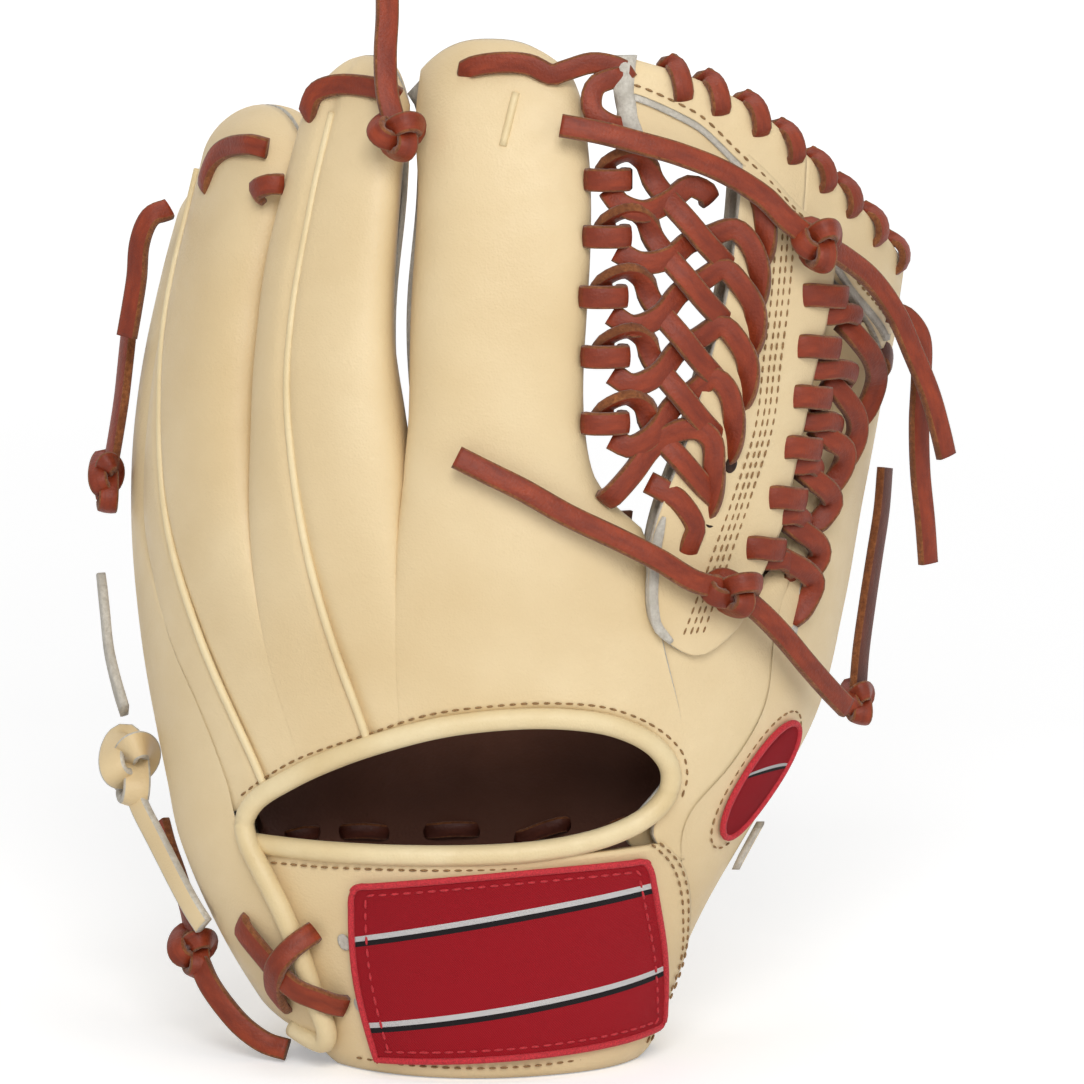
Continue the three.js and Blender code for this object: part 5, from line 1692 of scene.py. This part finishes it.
@dataclass(frozen=True)
class Lacing:
    """The free lace ends, their knots, the fingertip laces and the pull strap."""

    def tip_laces(self) -> None:
        """The laces that close the fingertips."""
        runs = {
            "index_tip_lace": ((
                (-15.8, 274, -1.5), (-15.6, 276.3, 1.8), (-10.9, 278, 2.6), (-6.1, 277.6, 2.4),
                (-2.4, 274.9, 2), (-0.5, 276, 2.2), (4.1, 278.1, 2.6), (9, 275.4, 2.2),
                (4.5, 272, 2.4), (4.4, 265.4, 2.2), (7.8, 261.4, 2), (11.4, 261.3, -0.6)),),
            "middle_tip_lace": ((
                (-44, 261, -1.2), (-43, 263, 1.8), (-42, 268, 2.4), (-39, 270.4, 2.4),
                (-35, 271, 2.2), (-29, 270, 2.2), (-27.4, 268, -1)),),
            "ring_tip_lace": ((
                (-69, 238, -1.4), (-68, 240, 1.8), (-66, 247, 2.4), (-62, 251, 2.4),
                (-55, 253, 2.2), (-52.6, 252, -1)),),
            "ring_side_lace": (((-52, 238.6, -1.4), (-51, 241, 1.8), (-48, 243, 2),
                                (-46.8, 243, -1.2)),),
        }
        for name, routes in runs.items():
            cloth = Cloth()
            for route in routes:
                lace(cloth, *on_back(route), LaceCut(5.8, 2.4))
            piece = cloth.piece(name + "_run", LACED, "lace_leather")
            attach(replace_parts(piece, name), Body.FINGERS.value)

    def pull_strap(self) -> None:
        """The suede spike of the pull strap above its knot."""
        cloth = Cloth()
        route = np.array(((-113, 30, 90), (-115.5, 34, 97), (-118, 39, 106), (-119.5, 45, 116),
                          (-121, 51, 126)), float)
        lace(cloth, route, np.tile((-1.0, 0.0, 0.2), (len(route), 1)), LaceCut(9, 2.4),
             pinch=(0.9, 0.35))
        piece = cloth.piece("pull_strap_spike", (Finish.SUEDE, Finish.SUEDE), "suede")
        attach(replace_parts(piece, "pull_strap_tab"), Body.FINGERS.value)

    def build(self) -> None:
        """Builds the free ends first, then the rest."""
        for tail in TAILS:
            tail.make()
        for knot in KNOTS:
            knot.make()
        self.tip_laces()
        self.pull_strap()


# --------------------------------------------------------------------------------------- badges
@dataclass(frozen=True)
class Badges:
    """The woven disc on the thumb, the small tab beside it, and the punched holes."""

    disc_at: tuple[float, float] = (62.0, 78.0)
    disc_wide: float = 13.4
    disc_tall: float = 15.2
    disc_cells: int = 26
    hole: tuple[float, float] = (1.9, 2.3)
    hole_cells: int = 7

    def _round(self, angle: float, height: float, lift: float, wide: float, tall: float,
               cells: int) -> np.ndarray:
        """A grid over an oval on the back."""
        u, v = np.meshgrid(np.linspace(-1, 1, cells), np.linspace(-1, 1, cells))
        x, y = u * np.sqrt(1 - v * v / 2) * wide, v * np.sqrt(1 - u * u / 2) * tall
        return FORM.back(angle + FORM.degrees(x, np.full_like(x, height)), height + y, -lift)

    def disc(self) -> list[bpy.types.Object]:
        """The disc and its overlocked edge."""
        cloth = Cloth()
        wide, tall = self.disc_wide, self.disc_tall
        slab(cloth, *[self._round(*self.disc_at, lift, wide, tall, self.disc_cells)
                      for lift in (1.5, 0.3)])
        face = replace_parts(cloth.piece("thumb_disc", (Finish.DISC,) * 3, "patch_cloth"),
                           "thumb_patch")
        turn = np.linspace(0, 2 * math.pi, 60, endpoint=False)

        def oval(more: float, lift: float) -> np.ndarray:
            """A ring round the disc."""
            spread = FORM.degrees((wide + more) * np.cos(turn),
                                  np.full_like(turn, self.disc_at[1]))
            return FORM.back(self.disc_at[0] + spread,
                             self.disc_at[1] + (tall + more) * np.sin(turn), -lift)

        ring, outside = oval(0.0, 1.4), oval(3.0, 0.12)
        sewn = StitchRow.sew("thumb_disc_stitches", [np.concatenate([outside, outside[:1]])],
                             "shell_leather", 3.0, 2.1, 0.65)
        rim = Cloth()
        cord_tube(rim, ring, OVERLOCK, sides=10, closed=True)
        edge = rim.piece("thumb_disc_rim", (Finish.RED_THREAD,), "patch_cloth")
        over = StitchRow.sew("thumb_disc_border", [np.concatenate([ring, ring[:1]])],
                             "patch_cloth", OVERLOCK_STEP, 2.4, OVERLOCK, Finish.RED_THREAD)
        return [face, edge, over, sewn]

    def tab(self) -> bpy.types.Object:
        """The small tab at the thumb's edge."""
        cloth = Cloth()
        u, v = share_grid(14, 16)
        height = 50 + 12 * v + 1.5 * (2 * u - 1) ** 2 * (1 - v) * 2
        angle = 80 * (1 - u) + 90 * u
        slab(cloth, FORM.back(angle, height, -2.6), FORM.back(angle, height, -0.4))
        piece = cloth.piece("thumb_side_tab", HIDE, "shell_leather")
        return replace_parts(piece, "thumb_tab")

    def holes(self, name: str, places: Sequence[tuple[float, float, float]],
              finish: Finish) -> bpy.types.Object:
        """Punched holes at (angle, height, lift), as discs in the given finish: the suede that lies
        behind them on the strap and the thumb, painted shade in the post's holes.
        """
        cloth = Cloth()
        for angle, height, lift in places:
            slab(cloth, *[self._round(angle, height, lift + off, *self.hole, self.hole_cells)
                          for off in (0.12, -0.5)])
        return cloth.piece(name, (finish,) * 3, "lining_leather")

    def build(self) -> None:
        """Builds the badges and the holes."""
        for piece in (*self.disc(), self.tab()):
            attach(piece, Body.THUMB.value)
        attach(self.holes("strap_holes", ((-28, 38, -0.6), (-29, 20, -0.6)), Finish.SUEDE),
                Body.FINGERS.value)
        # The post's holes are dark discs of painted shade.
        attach(self.holes("post_holes", (
            (34.6, 209.5, 2.7), (35.4, 197.6, 2.7), (35.9, 183.4, 2.7), (35.1, 168.8, 2.7),
            (32.9, 154.2, 2.7)), Finish.PAINTED_HOLE_SHADE), Body.POCKET.value)
        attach(self.holes("thumb_holes", ((71.6, 170.4, 0.1), (64.2, 158.2, 0.1),
                                           (60.9, 153.2, 0.1), (57.8, 144, 0.1),
                                           (57.2, 130.2, 0.1), (56.6, 118.8, 0.1)),
                           Finish.SUEDE), Body.THUMB.value)


# --------------------------------------------------------------------------------------- studio
@dataclass(frozen=True)
class Lamp:
    """A soft square lamp: where it stands, how wide it is and how bright."""

    name: str
    place: Place
    size: float
    watts: float


@dataclass(frozen=True)
class Studio:
    """A pale floor, soft lamps, and the camera a little above the glove's middle."""

    aim: Place = (6.0, 10.0, 142.0)
    elevation: float = 9.0
    distance: float = 1500.0
    lens: float = 177.9
    sensor: float = 36.0
    floor_reach: float = 14.0
    floor_glow: float = 0.3
    far_glow: float = 0.75
    glow_reach: tuple[float, float] = (0.5, 3.0)
    lit_height: float = 0.13
    sight: float = 40.0
    world_light: float = 0.42
    lamps: tuple[Lamp, ...] = (
        Lamp("key", (0.05, -1.9, 1.35), 1.0, 25.0),
        Lamp("fill", (1.3, -1.6, 0.7), 1.4, 5.0),
        Lamp("top", (0.2, 0.1, 2.0), 1.2, 8.0),
    )

    def camera(self) -> None:
        """Places the camera."""
        lens = bpy.data.cameras.new("camera")
        lens.lens, lens.sensor_width = self.lens, self.sensor
        camera = bpy.data.objects.new("camera", lens)
        bpy.context.scene.collection.objects.link(camera)
        rise = math.radians(self.elevation)
        aim = Vector(to_frame(np.array(self.aim)))
        back = Vector((0.0, -math.cos(rise), math.sin(rise))) * self.distance * MM
        camera.location = aim + back
        camera.rotation_euler = (-back).to_track_quat("-Z", "Y").to_euler()
        lens.clip_end = self.sight
        bpy.context.scene.camera = camera

    def light(self) -> None:
        """Places the lamps and the pale world."""
        for lamp in self.lamps:
            data = bpy.data.lights.new(lamp.name, "AREA")
            data.energy, data.size = lamp.watts, lamp.size
            obj = bpy.data.objects.new(lamp.name, data)
            bpy.context.scene.collection.objects.link(obj)
            obj.location = lamp.place
            ray = Vector((0, 0, self.lit_height)) - Vector(lamp.place)
            obj.rotation_euler = ray.to_track_quat("-Z", "Y").to_euler()
        t = NodeTree("pale room", world=True)
        level = t.add("MapRange", {0: t.looked_at(), 3: self.world_light, 4: 1.0}).outputs[0]
        back = t.add("Background", {"Color": (1, 1, 1, 1), "Strength": level})
        t.tree.links.new(back.outputs[0], t.add("OutputWorld").inputs[0])
        bpy.context.scene.world = t.material

    def floor(self) -> None:
        """Lays the floor, which glows a little to the camera so that it reads as white."""
        t = NodeTree("pale floor")
        away = t.add("VectorMath", {0: t.where()}, operation="LENGTH").outputs["Value"]
        near, far = self.glow_reach
        level = t.add("MapRange", {0: away, 1: near, 2: far, 3: self.floor_glow,
                                   4: self.far_glow}).outputs[0]
        glow = t.math("MULTIPLY", t.looked_at(), level)
        fine = t.noise(t.where(), 3.0, 2.0)
        colour = t.mix(t.spread(fine, 0.0, 1.0), (0.9, 0.9, 0.9, 1), (0.92, 0.92, 0.92, 1))
        diffuse = t.add("BsdfDiffuse", {"Color": colour})
        light = t.add("Emission", {"Color": (1, 1, 1, 1), "Strength": glow})
        both = t.add("AddShader", {0: diffuse.outputs[0], 1: light.outputs[0]})
        t.tree.links.new(both.outputs[0], t.add("OutputMaterial").inputs[0])
        reach = self.floor_reach
        mesh = bpy.data.meshes.new("floor")
        mesh.from_pydata([(-reach, -reach, 0), (reach, -reach, 0), (reach, reach, 0),
                          (-reach, reach, 0)], [], [(0, 1, 2, 3)])
        mesh.materials.append(t.material)
        obj = bpy.data.objects.new("floor", mesh)
        bpy.context.scene.collection.objects.link(obj)

    def build(self) -> None:
        """Builds the studio."""
        bpy.context.scene.view_settings.view_transform = "Standard"
        self.camera()
        self.light()
        self.floor()


def main() -> None:
    """Builds the glove: the camera and the free laces first, then the leather."""
    logging.basicConfig(level=logging.INFO, format="%(message)s")
    for part in (Studio(), Lacing(), Shell(), Palm(), Wrist(), Web(), Badges()):
        LOG.info("building %s", type(part).__name__)
        part.build()


if __name__ == "__main__":
    main()
